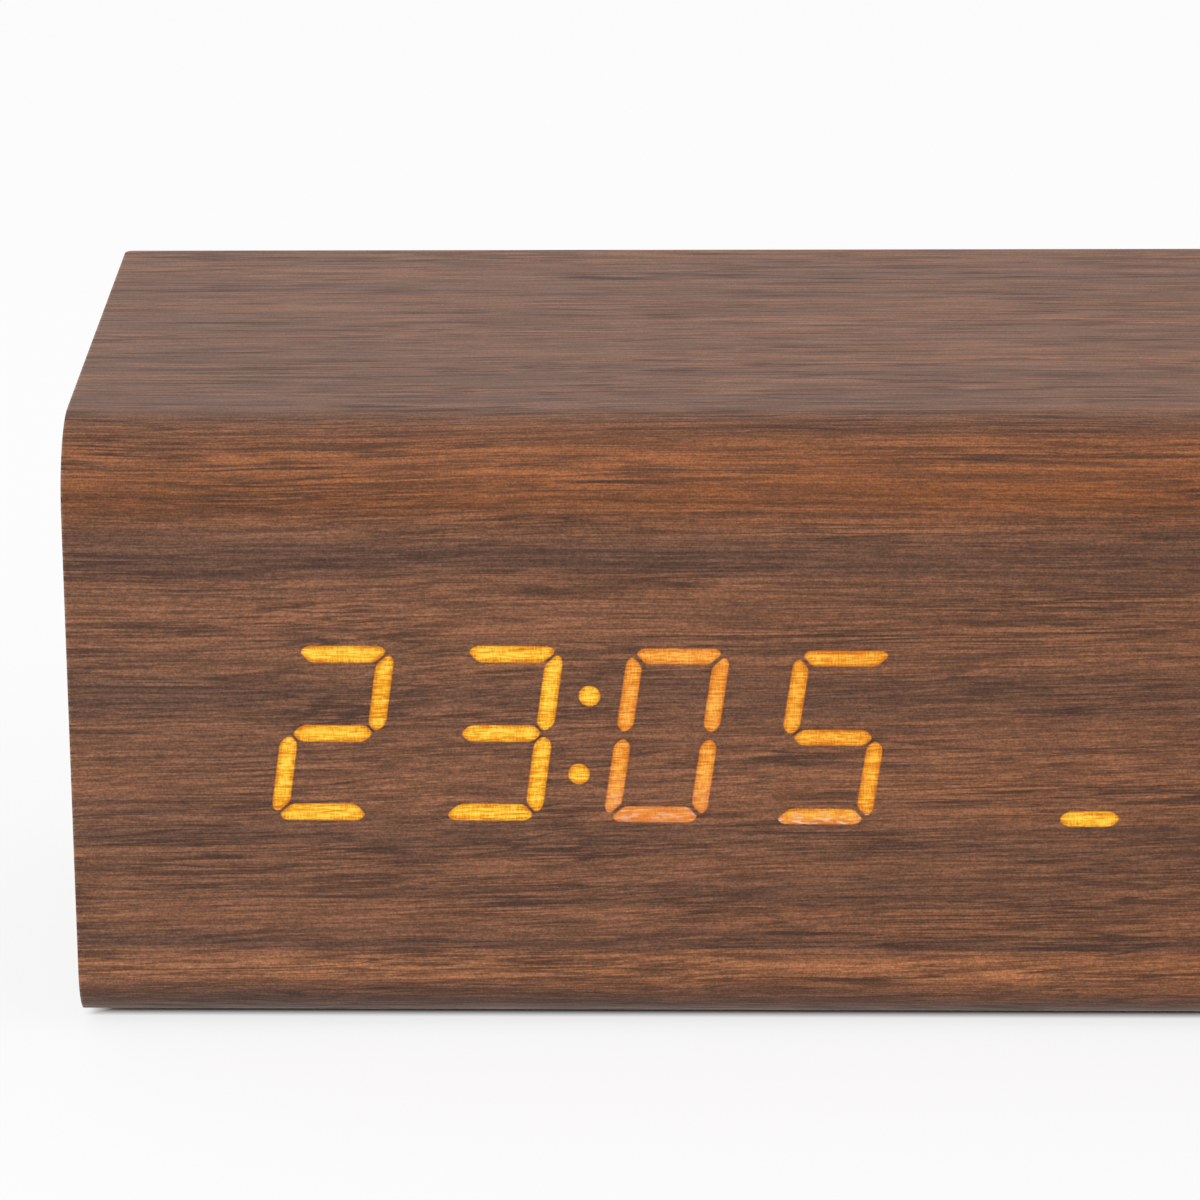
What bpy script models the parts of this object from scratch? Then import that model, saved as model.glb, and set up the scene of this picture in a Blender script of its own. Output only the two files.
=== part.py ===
# Wireless charging clock: a veneered wooden block that hides a clock display behind a thin
# front skin and a charging coil under its top.
# Metres, +Z up, front towards -Y, origin on the ground under the middle of the block.

import math

import bmesh
import bpy
from mathutils import Vector

MM = 0.001

# Fits
SEAT_GAP = 0.3 * MM
OVERRUN = 1.0 * MM

# Roundness
ARC_STEPS = 8
ROUND_STEPS = 24
SMALL_ROUND_STEPS = 12
SHARP_ANGLE = math.radians(35)

# Casing: one veneered board folded round the front, with a lip at each end for the end panels
CASING_LENGTH = 165.0 * MM
CASING_DEPTH = 65.0 * MM
CASING_HEIGHT = 63.0 * MM
WALL = 5.0 * MM
EDGE_LIP = 0.6 * MM
FRONT_TOP_RADIUS = 8.5 * MM
FRONT_BOTTOM_RADIUS = 5.5 * MM
LEAST_RADIUS = 0.2 * MM
FRONT_SKIN = 0.6 * MM

# Feet
FOOT_RISE = 1.2 * MM
FOOT_RECESS = 0.8 * MM
FOOT_RADIUS = 5.0 * MM
FOOT_EDGE = 0.4 * MM
FOOT_INSET = 13.5 * MM

# Screws, one size throughout
SHANK_RADIUS = 1.1 * MM
SCREW_HEAD_RADIUS = 2.1 * MM
SCREW_HEAD_HEIGHT = 1.3 * MM
SCREW_EDGE = 0.35 * MM
SCREW_POINT = 0.8 * MM
SCREW_TIP_RADIUS = 0.4 * MM
SCREW_BITE = 3.0 * MM
SLOT_WIDTH = 0.6 * MM
SLOT_DEPTH = 0.5 * MM
BOSS_WALL = 1.6 * MM

# Rear panel and the battens that carry it
REAR_RECESS = 1.0 * MM
REAR_THICKNESS = 2.5 * MM
REAR_CORNER_RADIUS = 1.2 * MM
CLEAT_WIDTH = 9.0 * MM
CLEAT_DEPTH = 11.0 * MM
CLEAT_CHAMFER = 1.0 * MM
REAR_SCREW_INSET = 9.0 * MM
VENT_COUNT = 9
VENT_PITCH = 6.0 * MM
VENT_WIDTH = 2.0 * MM
VENT_HEIGHT = 8.0 * MM
VENT_CORNER_RADIUS = 0.7 * MM
VENT_DROP = 10.0 * MM

# Time display, seen through the front skin
FIRST_DIGIT_INSET = 26.7 * MM
DISPLAY_MIDDLE_HEIGHT = 31.0 * MM
DIGIT_COUNT = 4
DIGIT_PITCH = 16.85 * MM
DIGIT_SPAN = 8.7 * MM
DIGIT_RISE = 8.4 * MM
STROKE = 1.7 * MM
STROKE_GAP = 0.55 * MM
CORNER_TIP_SHARE = 0.3
MIDDLE_TIP_SHARE = 0.5
SLANT = math.radians(8.0)
COLON_RADIUS = 1.04 * MM
COLON_RISE = 4.15 * MM
BAR_LENGTH = 6.0 * MM
BAR_STROKE = 1.55 * MM
BAR_ADVANCE = 25.6 * MM

# Light box, its film and the board behind it
FILM_THICKNESS = 0.3 * MM
LIGHT_BOX_DEPTH = 8.0 * MM
LIGHT_BOX_RIM = 3.6 * MM
WELL_FLOOR_SHARE = 0.72
EAR_REACH = 7.0 * MM
EAR_HEIGHT = 9.0 * MM
EAR_THICKNESS = 2.0 * MM
BOARD_THICKNESS = 1.6 * MM
LED_SIZE = 0.8 * MM
LED_RISE = 0.5 * MM
BOARD_SINK = 0.2 * MM
PLUG_LENGTH = 8.0 * MM
PLUG_WIDTH = 5.0 * MM
PLUG_RISE = 4.0 * MM
CHIP_LENGTH = 16.0 * MM
CHIP_WIDTH = 7.0 * MM
CHIP_RISE = 1.5 * MM
PART_CORNER_SHARE = 0.25
DISPLAY_PLUG_DROP_SHARE = 0.5

# Charging coil, wound flat, with its shield, tray and board
WIRE_DIAMETER = 0.9 * MM
WIRE_SPACING = 0.45 * MM
COIL_TURN_COUNT = 8
COIL_POINTS = 24
WIRE_BEND_RADIUS = 1.5 * MM
WIRE_BEND_STEPS = 4
SHIELD_MARGIN = 1.6 * MM
SHIELD_THICKNESS = 0.8 * MM
TRAY_CLEARANCE = 3.2 * MM
TRAY_OVERLAP = 0.65 * MM
TRAY_THICKNESS = 1.6 * MM
TRAY_CORNER_RADIUS = 3.0 * MM
TRAY_SCREW_INSET = 3.0 * MM
POST_LENGTH = 6.0 * MM
CHARGER_LENGTH = 50.0 * MM
CHARGER_WIDTH = 32.0 * MM
CHARGER_SCREW_INSET = 3.5 * MM
INDUCTOR_SIZE = 10.0 * MM
INDUCTOR_RISE = 4.5 * MM
CAPACITOR_RADIUS = 3.2 * MM
CAPACITOR_RISE = 6.0 * MM
CAPACITOR_COUNT = 3
CAPACITOR_PITCH = 8.0 * MM
CHARGER_PLUG_SHARES = (0.25, 0.25)
INDUCTOR_SHARES = (-0.25, 0.125)
CHARGER_CHIP_SHARES = (0.125, 0)
FIRST_CAPACITOR_SHARES = (-0.29, -0.33)

# Main board behind the rear panel
STANDOFF = 6.5 * MM
MAIN_LENGTH = 104.0 * MM
MAIN_HEIGHT = 32.0 * MM
MAIN_MIDDLE_HEIGHT = 25.0 * MM
MAIN_SCREW_INSET = 4.0 * MM
MAIN_PLUG_SHARE = 0.17

# Buttons
BUTTON_NAMES = ("set", "up", "down")
BUTTON_FIRST_INSET = 14.0 * MM
BUTTON_PITCH = 13.0 * MM
BUTTON_DROP = 9.0 * MM
BUTTON_LENGTH = 8.0 * MM
BUTTON_WIDTH = 5.0 * MM
BUTTON_EDGE = 0.35 * MM
BUTTON_PROUD = 0.7 * MM
BUTTON_TRAVEL = 0.5 * MM
PILL_SHARE = 0.98
FLANGE_REACH = 1.0 * MM
FLANGE_THICKNESS = 0.8 * MM
SWITCH_SIZE = 6.0 * MM
SWITCH_HEIGHT = 3.5 * MM
SWITCH_FLOOR = 0.8 * MM
PLUNGER_RADIUS = 1.7 * MM
PLUNGER_PROUD = 0.8 * MM

# Power inlet
INLET_ADVANCE = 53.0 * MM
INLET_LIFT = 8.0 * MM
INLET_WIDTH = 9.0 * MM
INLET_HEIGHT = 3.4 * MM
INLET_WALL = 0.35 * MM
INLET_DEPTH = 6.2 * MM
TONGUE_WIDTH = 6.6 * MM
TONGUE_THICKNESS = 0.7 * MM
TONGUE_LENGTH = 4.6 * MM
TONGUE_EDGE = 0.2 * MM

# Back-up cell, its holder and its door
CELL_INSET = 23.0 * MM
CELL_RADIUS = 10.0 * MM
CELL_THICKNESS = 3.2 * MM
CELL_STEP = 0.4 * MM
CELL_STEP_INSET = 1.2 * MM
HOLDER_WALL = 1.2 * MM
HOLDER_FLOOR = 0.9 * MM
HOLDER_CORNER_RADIUS = 3.0 * MM
LIP_LENGTH = 5.0 * MM
LIP_REACH = 1.5 * MM
LIP_THICKNESS = 0.7 * MM
LIP_SINK = 0.1 * MM
DOOR_MARGIN = 0.6 * MM
DOOR_LEDGE = 1.6 * MM
DOOR_THICKNESS = 1.2 * MM
DOOR_CORNER_RADIUS = 2.0 * MM
DOOR_NOTCH_WIDTH = 8.0 * MM
DOOR_NOTCH_DEPTH = 0.6 * MM
DOOR_NOTCH_REACH = 2.0 * MM
DOOR_RIB_DROP = 1.0 * MM
DOOR_RIB_WIDTH = 1.2 * MM

# Buzzer
BUZZER_INSET = 16.0 * MM
BUZZER_RADIUS = 5.5 * MM
BUZZER_HEIGHT = 5.2 * MM
BUZZER_EDGE = 0.5 * MM
BUZZER_HOLE_RADIUS = 1.1 * MM
BUZZER_LIFT = 8.5 * MM
SOUND_HOLE_COUNT = 6
SOUND_HOLE_RADIUS = 0.7 * MM
SOUND_RING_RADIUS = 3.2 * MM

# Leads between the boards
LEAD_DIAMETER = 2.0 * MM
LEAD_POINTS = 24
LEAD_STRAIGHT = 4.0 * MM

# Places worked out from the sizes
FRONT_Y = -CASING_DEPTH / 2
REAR_Y = CASING_DEPTH / 2
BASE_Z = FOOT_RISE
TOP_Z = BASE_Z + CASING_HEIGHT
HALF_LENGTH = CASING_LENGTH / 2
END_THICKNESS = WALL - EDGE_LIP
INNER_X = HALF_LENGTH - END_THICKNESS
INNER_FRONT_Y = FRONT_Y + WALL
FLOOR_Z = BASE_Z + WALL
CEILING_Z = TOP_Z - WALL
HOLE_RADIUS = SHANK_RADIUS + SEAT_GAP
BOSS_RADIUS = HOLE_RADIUS + BOSS_WALL
PANEL_OUTER_Y = REAR_Y - REAR_RECESS
PANEL_INNER_Y = PANEL_OUTER_Y - REAR_THICKNESS
PANEL_HALF_LENGTH = INNER_X - SEAT_GAP
PANEL_LOW_Z = FLOOR_Z + SEAT_GAP
PANEL_HIGH_Z = CEILING_Z - SEAT_GAP
CLEAT_X = INNER_X - SEAT_GAP - CLEAT_WIDTH / 2
CLEAT_REAR_Y = PANEL_INNER_Y - SEAT_GAP
DISPLAY_Z = BASE_Z + DISPLAY_MIDDLE_HEIGHT
FIRST_DIGIT_X = FIRST_DIGIT_INSET - HALF_LENGTH
FILM_FRONT_Y = FRONT_Y + FRONT_SKIN + SEAT_GAP
LIGHT_BOX_FRONT_Y = FILM_FRONT_Y + FILM_THICKNESS + SEAT_GAP
LIGHT_BOX_REAR_Y = LIGHT_BOX_FRONT_Y + LIGHT_BOX_DEPTH
DISPLAY_BOARD_FRONT_Y = LIGHT_BOX_REAR_Y + SEAT_GAP
DISPLAY_BOARD_REAR_Y = DISPLAY_BOARD_FRONT_Y + BOARD_THICKNESS
BAR_MIDDLE_X = FIRST_DIGIT_X + (DIGIT_COUNT - 1) * DIGIT_PITCH + BAR_ADVANCE
BAR_Z = DISPLAY_Z - DIGIT_RISE - (STROKE - BAR_STROKE) / 2
DISPLAY_HALF_HEIGHT = DIGIT_RISE + STROKE / 2 + LIGHT_BOX_RIM
SLANT_REACH = (DIGIT_RISE + STROKE / 2) * math.tan(SLANT)
DISPLAY_LOW_X = FIRST_DIGIT_X - DIGIT_SPAN / 2 - STROKE / 2 - SLANT_REACH - LIGHT_BOX_RIM
DISPLAY_HIGH_X = BAR_MIDDLE_X + BAR_LENGTH / 2 + LIGHT_BOX_RIM
TRAY_HALF_SIZE = -INNER_FRONT_Y - TRAY_CLEARANCE
TRAY_SCREW_REACH = TRAY_HALF_SIZE - TRAY_SCREW_INSET
POCKET_RADIUS = TRAY_HALF_SIZE - TRAY_OVERLAP
SHIELD_RADIUS = POCKET_RADIUS - SEAT_GAP
COIL_PITCH = WIRE_DIAMETER + WIRE_SPACING
COIL_OUTER_RADIUS = SHIELD_RADIUS - SHIELD_MARGIN - WIRE_DIAMETER / 2
COIL_INNER_RADIUS = COIL_OUTER_RADIUS - COIL_TURN_COUNT * COIL_PITCH
SHIELD_LOW_Z = CEILING_Z
SHIELD_HIGH_Z = SHIELD_LOW_Z + SHIELD_THICKNESS
COIL_Z = SHIELD_HIGH_Z + SEAT_GAP + WIRE_DIAMETER / 2
POCKET_HIGH_Z = COIL_Z + WIRE_DIAMETER / 2 + SEAT_GAP
TRAY_HIGH_Z = CEILING_Z - SEAT_GAP
TRAY_LOW_Z = TRAY_HIGH_Z - TRAY_THICKNESS
CHARGER_HIGH_Z = TRAY_LOW_Z - POST_LENGTH - SEAT_GAP
CHARGER_LOW_Z = CHARGER_HIGH_Z - BOARD_THICKNESS
MAIN_REAR_Y = PANEL_INNER_Y - STANDOFF - SEAT_GAP
MAIN_FRONT_Y = MAIN_REAR_Y - BOARD_THICKNESS
MAIN_Z = BASE_Z + MAIN_MIDDLE_HEIGHT
MAIN_LOW_X = -MAIN_LENGTH / 2
MAIN_HIGH_X = MAIN_LENGTH / 2
MAIN_HIGH_Z = MAIN_Z + MAIN_HEIGHT / 2
MAIN_LOW_Z = MAIN_Z - MAIN_HEIGHT / 2
ON_MAIN_Y = MAIN_REAR_Y + SEAT_GAP
BUTTON_Z = MAIN_HIGH_Z - BUTTON_DROP
SWITCH_TOP_Y = ON_MAIN_Y + SWITCH_HEIGHT
PLUNGER_TOP_Y = SWITCH_TOP_Y + PLUNGER_PROUD
FLANGE_OUTER_Y = PANEL_INNER_Y - SEAT_GAP
FLANGE_INNER_Y = FLANGE_OUTER_Y - FLANGE_THICKNESS
INLET_X = MAIN_LOW_X + INLET_ADVANCE
INLET_Z = MAIN_LOW_Z + INLET_LIFT
CELL_X = MAIN_HIGH_X - CELL_INSET
HOLDER_POCKET_RADIUS = CELL_RADIUS + SEAT_GAP
HOLDER_HALF_SIZE = HOLDER_POCKET_RADIUS + HOLDER_WALL
HOLDER_TOP_Y = ON_MAIN_Y + HOLDER_FLOOR + SEAT_GAP + CELL_THICKNESS + SEAT_GAP
OPENING_HALF_SIZE = HOLDER_HALF_SIZE - DOOR_LEDGE
DOOR_HALF_SIZE = HOLDER_HALF_SIZE - DOOR_MARGIN
DOOR_INNER_Y = PANEL_OUTER_Y - DOOR_THICKNESS
BUZZER_X = MAIN_LOW_X + BUZZER_INSET
BUZZER_Z = MAIN_LOW_Z + BUZZER_LIFT


def finish(name, colour, roughness, metallic=0.0):
    """A Principled material with the piece's own colour."""
    material = bpy.data.materials.new(name)
    material.use_nodes = True
    shader = material.node_tree.nodes["Principled BSDF"]
    shader.inputs["Base Color"].default_value = (*colour, 1.0)
    shader.inputs["Roughness"].default_value = roughness
    shader.inputs["Metallic"].default_value = metallic
    material.diffuse_color = (*colour, 1.0)
    return material


def add_object(name, mesh, material=None):
    """Put a mesh in the scene under the piece's name."""
    obj = bpy.data.objects.new(name, mesh)
    bpy.context.scene.collection.objects.link(obj)
    if material:
        mesh.materials.append(material)
    return obj


def loft(name, sections, material=None):
    """A closed body through rings of points, each with the same number of points."""
    bm = bmesh.new()
    rings = [[bm.verts.new(point) for point in section] for section in sections]
    for ring, following in zip(rings, rings[1:]):
        for index in range(len(ring)):
            after = (index + 1) % len(ring)
            bm.faces.new((ring[index], ring[after], following[after], following[index]))
    bm.faces.new(rings[0])
    bm.faces.new(rings[-1])
    bmesh.ops.recalc_face_normals(bm, faces=bm.faces)
    mesh = bpy.data.meshes.new(name)
    bm.to_mesh(mesh)
    bm.free()
    mesh.shade_smooth()
    mesh.set_sharp_from_angle(angle=SHARP_ANGLE)
    return add_object(name, mesh, material)


def gather(name, bodies):
    """One object that holds several separate bodies, for cutting or joining in one go."""
    bm = bmesh.new()
    for body in bodies:
        bm.from_mesh(body.data)
        bpy.data.objects.remove(body)
    mesh = bpy.data.meshes.new(name)
    bm.to_mesh(mesh)
    bm.free()
    return add_object(name, mesh)


def combine(target, tools, operation):
    """Cut tools out of a piece, or join them to it, and keep them as guides."""
    for tool in tools:
        tool.hide_render = True
        tool.display_type = "WIRE"
        modifier = target.modifiers.new(tool.name, "BOOLEAN")
        modifier.operation = operation
        modifier.solver = "EXACT"
        modifier.object = tool
    return target


def cut(target, *tools):
    return combine(target, tools, "DIFFERENCE")


def join(target, *tools):
    return combine(target, tools, "UNION")


def arc(centre, radius, start, end, steps=ARC_STEPS):
    """Points on an arc between two angles, both ends included."""
    angles = [start + (end - start) * step / steps for step in range(steps + 1)]
    return [(centre[0] + radius * math.cos(a), centre[1] + radius * math.sin(a)) for a in angles]


def circle(centre, radius, steps=ROUND_STEPS):
    """Points round a circle, the last one short of the first."""
    return arc(centre, radius, 0, math.tau, steps)[:-1]


def rounded_rectangle(centre, half_width, half_height, radius, steps=ARC_STEPS // 2):
    """Outline of a rectangle with round corners."""
    points = []
    for turn in range(4):
        start = turn * math.pi / 2
        side = 1 if turn in (0, 3) else -1
        rise = 1 if turn in (0, 1) else -1
        corner = (centre[0] + side * (half_width - radius), centre[1] + rise * (half_height - radius))
        points += arc(corner, radius, start, start + math.pi / 2, steps)
    return points


def along_y(outline, y):
    """Lift an (x, z) outline to the plane at y."""
    return [(x, y, z) for x, z in outline]


def along_z(outline, z):
    """Lift an (x, y) outline to the plane at z."""
    return [(x, y, z) for x, y in outline]


def plate_y(name, outline, low, high, material=None):
    return loft(name, [along_y(outline, low), along_y(outline, high)], material)


def plate_z(name, outline, low, high, material=None):
    return loft(name, [along_z(outline, low), along_z(outline, high)], material)


def block(name, low, high, material=None):
    """A plain cuboid between two opposite corners."""
    outline = [(low[0], low[1]), (high[0], low[1]), (high[0], high[1]), (low[0], high[1])]
    return plate_z(name, outline, low[2], high[2], material)


def turned(name, base, direction, profile, material=None, steps=SMALL_ROUND_STEPS):
    """A round body: profile pairs a distance along the direction with a radius there."""
    direction = Vector(direction).normalized()
    side = direction.orthogonal().normalized()
    across = direction.cross(side)
    sections = []
    for distance, radius in profile:
        middle = Vector(base) + direction * distance
        sections.append([middle + side * x + across * y for x, y in circle((0, 0), radius, steps)])
    return loft(name, sections, material)


def hole(name, base, direction, radius, depth, steps=SMALL_ROUND_STEPS):
    """A round cutter that starts an overrun outside its base."""
    return turned(name, base, direction, [(-OVERRUN, radius), (depth, radius)], None, steps)


def screw(name, seat, direction, grip, material):
    """A screw whose head stands on seat and whose shank runs along direction."""
    length = grip + SCREW_BITE
    top = -SEAT_GAP - SCREW_HEAD_HEIGHT
    profile = [
        (top, SCREW_HEAD_RADIUS - SCREW_EDGE),
        (top + SCREW_EDGE, SCREW_HEAD_RADIUS),
        (-SEAT_GAP, SCREW_HEAD_RADIUS),
        (-SEAT_GAP, SHANK_RADIUS),
        (length - SCREW_POINT, SHANK_RADIUS),
        (length, SCREW_TIP_RADIUS),
    ]
    body = turned(name, seat, direction, profile, material)
    direction = Vector(direction).normalized()
    head = Vector(seat) + direction * top
    along = direction * SLOT_DEPTH
    side = direction.orthogonal().normalized()
    across = direction.cross(side)
    width = side * (SLOT_WIDTH / 2)
    reach = across * (SCREW_HEAD_RADIUS + OVERRUN)
    corners = ((width, reach), (-width, reach), (-width, -reach), (width, -reach))
    mouth = [head - along + u + v for u, v in corners]
    floor = [head + along + u + v for u, v in corners]
    slot = loft("cut_" + name, [mouth, floor])
    return cut(body, slot)


def screw_hole(name, mouth, direction, grip):
    """A clearance hole for the part of a screw that bites past the grip."""
    return hole(name, mouth, direction, HOLE_RADIUS, grip + SCREW_BITE + SEAT_GAP)


# Casing

def wrap_outline(offset):
    """(y, z) points round the top, front and bottom, moved inwards by offset."""
    top = TOP_Z - offset
    bottom = BASE_Z + offset
    front = FRONT_Y + offset
    upper = max(FRONT_TOP_RADIUS - offset, LEAST_RADIUS)
    lower = max(FRONT_BOTTOM_RADIUS - offset, LEAST_RADIUS)
    points = [(REAR_Y, top)]
    points += arc((front + upper, top - upper), upper, math.pi / 2, math.pi)
    points += arc((front + lower, bottom + lower), lower, math.pi, math.pi * 3 / 2)
    points.append((REAR_Y, bottom))
    return points


def casing_section(x, wall):
    outline = wrap_outline(0) + wrap_outline(wall)[::-1]
    return [(x, y, z) for y, z in outline]


def foot_places():
    """Middles of the four feet, (x, y)."""
    reach_x = HALF_LENGTH - FOOT_INSET
    reach_y = CASING_DEPTH / 2 - FOOT_INSET
    return [(side * reach_x, end * reach_y) for end in (-1, 1) for side in (-1, 1)]


def tray_screw_places():
    """Middles of the coil tray's four screws, (x, y)."""
    reach = TRAY_SCREW_REACH
    return [(side * reach, end * reach) for end in (-1, 1) for side in (-1, 1)]


def ear_places():
    """Middles of the light box's four fixing ears, (x, z), with the side each points to."""
    places = []
    for x, side in ((DISPLAY_LOW_X, -1), (DISPLAY_HIGH_X, 1)):
        for end in (-1, 1):
            z = DISPLAY_Z + end * (DISPLAY_HALF_HEIGHT - EAR_HEIGHT / 2)
            places.append((x + side * EAR_REACH / 2, z))
    return places


def make_casing(wood):
    sections = [
        casing_section(-HALF_LENGTH, EDGE_LIP),
        casing_section(-INNER_X, WALL),
        casing_section(INNER_X, WALL),
        casing_section(HALF_LENGTH, EDGE_LIP),
    ]
    casing = loft("wood_casing", sections, wood)
    window = block(
        "cut_display_pocket",
        (DISPLAY_LOW_X - SEAT_GAP, FRONT_Y + FRONT_SKIN, DISPLAY_Z - DISPLAY_HALF_HEIGHT - SEAT_GAP),
        (DISPLAY_HIGH_X + SEAT_GAP, INNER_FRONT_Y + OVERRUN, DISPLAY_Z + DISPLAY_HALF_HEIGHT + SEAT_GAP),
    )
    pocket = plate_z(
        "cut_coil_pocket",
        circle((0, 0), POCKET_RADIUS, ROUND_STEPS * 2),
        CEILING_Z - OVERRUN,
        POCKET_HIGH_Z,
    )
    cutters = [window, pocket]
    for number, (x, y) in enumerate(foot_places(), 1):
        radius = FOOT_RADIUS + SEAT_GAP
        cutters.append(hole(f"cut_foot_recess_{number}", (x, y, BASE_Z), (0, 0, 1), radius, FOOT_RECESS, ROUND_STEPS))
    for number, (x, y) in enumerate(tray_screw_places(), 1):
        cutters.append(screw_hole(f"cut_tray_screw_hole_{number}", (x, y, CEILING_Z), (0, 0, 1), 0))
    for number, (x, z) in enumerate(ear_places(), 1):
        cutters.append(screw_hole(f"cut_ear_screw_hole_{number}", (x, INNER_FRONT_Y, z), (0, -1, 0), 0))
    return cut(casing, *cutters)


def make_end_panel(name, side, wood):
    """An end board whose edge is mitred to fit inside the casing's lip."""
    outer = [(side * HALF_LENGTH, y, z) for y, z in wrap_outline(EDGE_LIP + SEAT_GAP)]
    inner = [(side * INNER_X, y, z) for y, z in wrap_outline(WALL + SEAT_GAP)]
    return loft(name, [outer, inner], wood)


def rear_screw_places():
    """Middles of the rear panel's four screws, (x, z)."""
    low = PANEL_LOW_Z + REAR_SCREW_INSET
    high = PANEL_HIGH_Z - REAR_SCREW_INSET
    return [(side * CLEAT_X, z) for z in (low, high) for side in (-1, 1)]


def make_cleat(name, side, wood):
    """A glued batten, its free corner chamfered, that takes two of the panel's screws."""
    wall_x = side * (CLEAT_X + CLEAT_WIDTH / 2)
    free_x = side * (CLEAT_X - CLEAT_WIDTH / 2)
    rear = CLEAT_REAR_Y
    front = CLEAT_REAR_Y - CLEAT_DEPTH
    outline = [
        (wall_x, rear),
        (free_x, rear),
        (free_x, front + CLEAT_CHAMFER),
        (free_x + side * CLEAT_CHAMFER, front),
        (wall_x, front),
    ]
    cleat = plate_z(name, outline, PANEL_LOW_Z, PANEL_HIGH_Z, wood)
    cutters = []
    for number, (x, z) in enumerate(rear_screw_places(), 1):
        if x * side > 0:
            cutters.append(screw_hole(f"cut_{name}_hole_{number}", (x, rear, z), (0, -1, 0), 0))
    return cut(cleat, *cutters)


def make_foot(name, place, rubber):
    top = BASE_Z + FOOT_RECESS - SEAT_GAP
    profile = [(0, FOOT_RADIUS - FOOT_EDGE), (FOOT_EDGE, FOOT_RADIUS), (top, FOOT_RADIUS)]
    return turned(name, (*place, 0), (0, 0, 1), profile, rubber, ROUND_STEPS)


# Display

def hexagon(length, stroke, tip_share):
    """A lying bar with 45 degree ends; tip_share says how far down its ends' tips lie."""
    top = stroke * tip_share
    bottom = stroke - top
    half = length / 2
    return [
        (-half, stroke / 2 - top),
        (-half + top, stroke / 2),
        (half - top, stroke / 2),
        (half, stroke / 2 - top),
        (half - bottom, -stroke / 2),
        (-half + bottom, -stroke / 2),
    ]


def upright_hexagon(length, stroke, tip_share):
    """A standing bar on the right of a digit, from the middle bar up to the corner."""
    top = stroke * tip_share
    half = stroke / 2
    return [
        (half - top, length / 2),
        (-half, length / 2 - (stroke - top)),
        (-half, -length / 2 + half),
        (0, -length / 2),
        (half, -length / 2 + half),
        (half, length / 2 - top),
    ]


def digit_segments():
    """The seven bars of a digit about its middle, unslanted, as (middle, outline) pairs."""
    tip_pull = STROKE_GAP / math.sqrt(2)
    corner_out = STROKE * (0.5 - CORNER_TIP_SHARE)
    lying = DIGIT_SPAN - 2 * tip_pull + 2 * corner_out
    middle_bar = DIGIT_SPAN - 2 * tip_pull
    upper_end = DIGIT_RISE - tip_pull + corner_out
    standing = upper_end - tip_pull
    standing_middle = (upper_end + tip_pull) / 2
    top = hexagon(lying, STROKE, CORNER_TIP_SHARE)
    upright = upright_hexagon(standing, STROKE, CORNER_TIP_SHARE)
    half = DIGIT_SPAN / 2
    return {
        "top": ((0, DIGIT_RISE), top),
        "upper_right": ((half, standing_middle), upright),
        "lower_right": ((half, -standing_middle), [(x, -z) for x, z in upright]),
        "bottom": ((0, -DIGIT_RISE), [(x, -z) for x, z in top]),
        "lower_left": ((-half, -standing_middle), [(-x, -z) for x, z in upright]),
        "upper_left": ((-half, standing_middle), [(-x, z) for x, z in upright]),
        "middle": ((0, 0), hexagon(middle_bar, STROKE, MIDDLE_TIP_SHARE)),
    }


def slanted(point, middle_z):
    """Lean a point of the display to the right above the middle line."""
    x, z = point
    return (x + (z - middle_z) * math.tan(SLANT), z)


def light_windows():
    """Every window of the display as (middle, outline) in the (x, z) plane."""
    windows = []
    for number in range(DIGIT_COUNT):
        digit_x = FIRST_DIGIT_X + number * DIGIT_PITCH
        for (x, z), outline in digit_segments().values():
            middle = slanted((digit_x + x, DISPLAY_Z + z), DISPLAY_Z)
            points = [(digit_x + x + u, DISPLAY_Z + z + v) for u, v in outline]
            windows.append((middle, [slanted(point, DISPLAY_Z) for point in points]))
    colon_x = FIRST_DIGIT_X + (DIGIT_COUNT - 1) * DIGIT_PITCH / 2
    for side in (-1, 1):
        middle = slanted((colon_x, DISPLAY_Z + side * COLON_RISE), DISPLAY_Z)
        windows.append((middle, circle(middle, COLON_RADIUS, SMALL_ROUND_STEPS)))
    bar = (BAR_MIDDLE_X, BAR_Z)
    bar_points = [(bar[0] + u, bar[1] + v) for u, v in hexagon(BAR_LENGTH, BAR_STROKE, MIDDLE_TIP_SHARE)]
    bar_points = [slanted(point, BAR_Z) for point in bar_points]
    windows.append((bar, bar_points))
    return windows


def make_well(number, middle, outline):
    """A tapered light well, wide at the front and narrower round its lamp."""
    floor = [
        (middle[0] + (x - middle[0]) * WELL_FLOOR_SHARE, middle[1] + (z - middle[1]) * WELL_FLOOR_SHARE)
        for x, z in outline
    ]
    sections = [
        along_y(outline, LIGHT_BOX_FRONT_Y - OVERRUN),
        along_y(outline, LIGHT_BOX_FRONT_Y + OVERRUN),
        along_y(floor, LIGHT_BOX_REAR_Y - OVERRUN),
        along_y(floor, LIGHT_BOX_REAR_Y + OVERRUN),
    ]
    return loft(f"well_{number}", sections)


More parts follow.
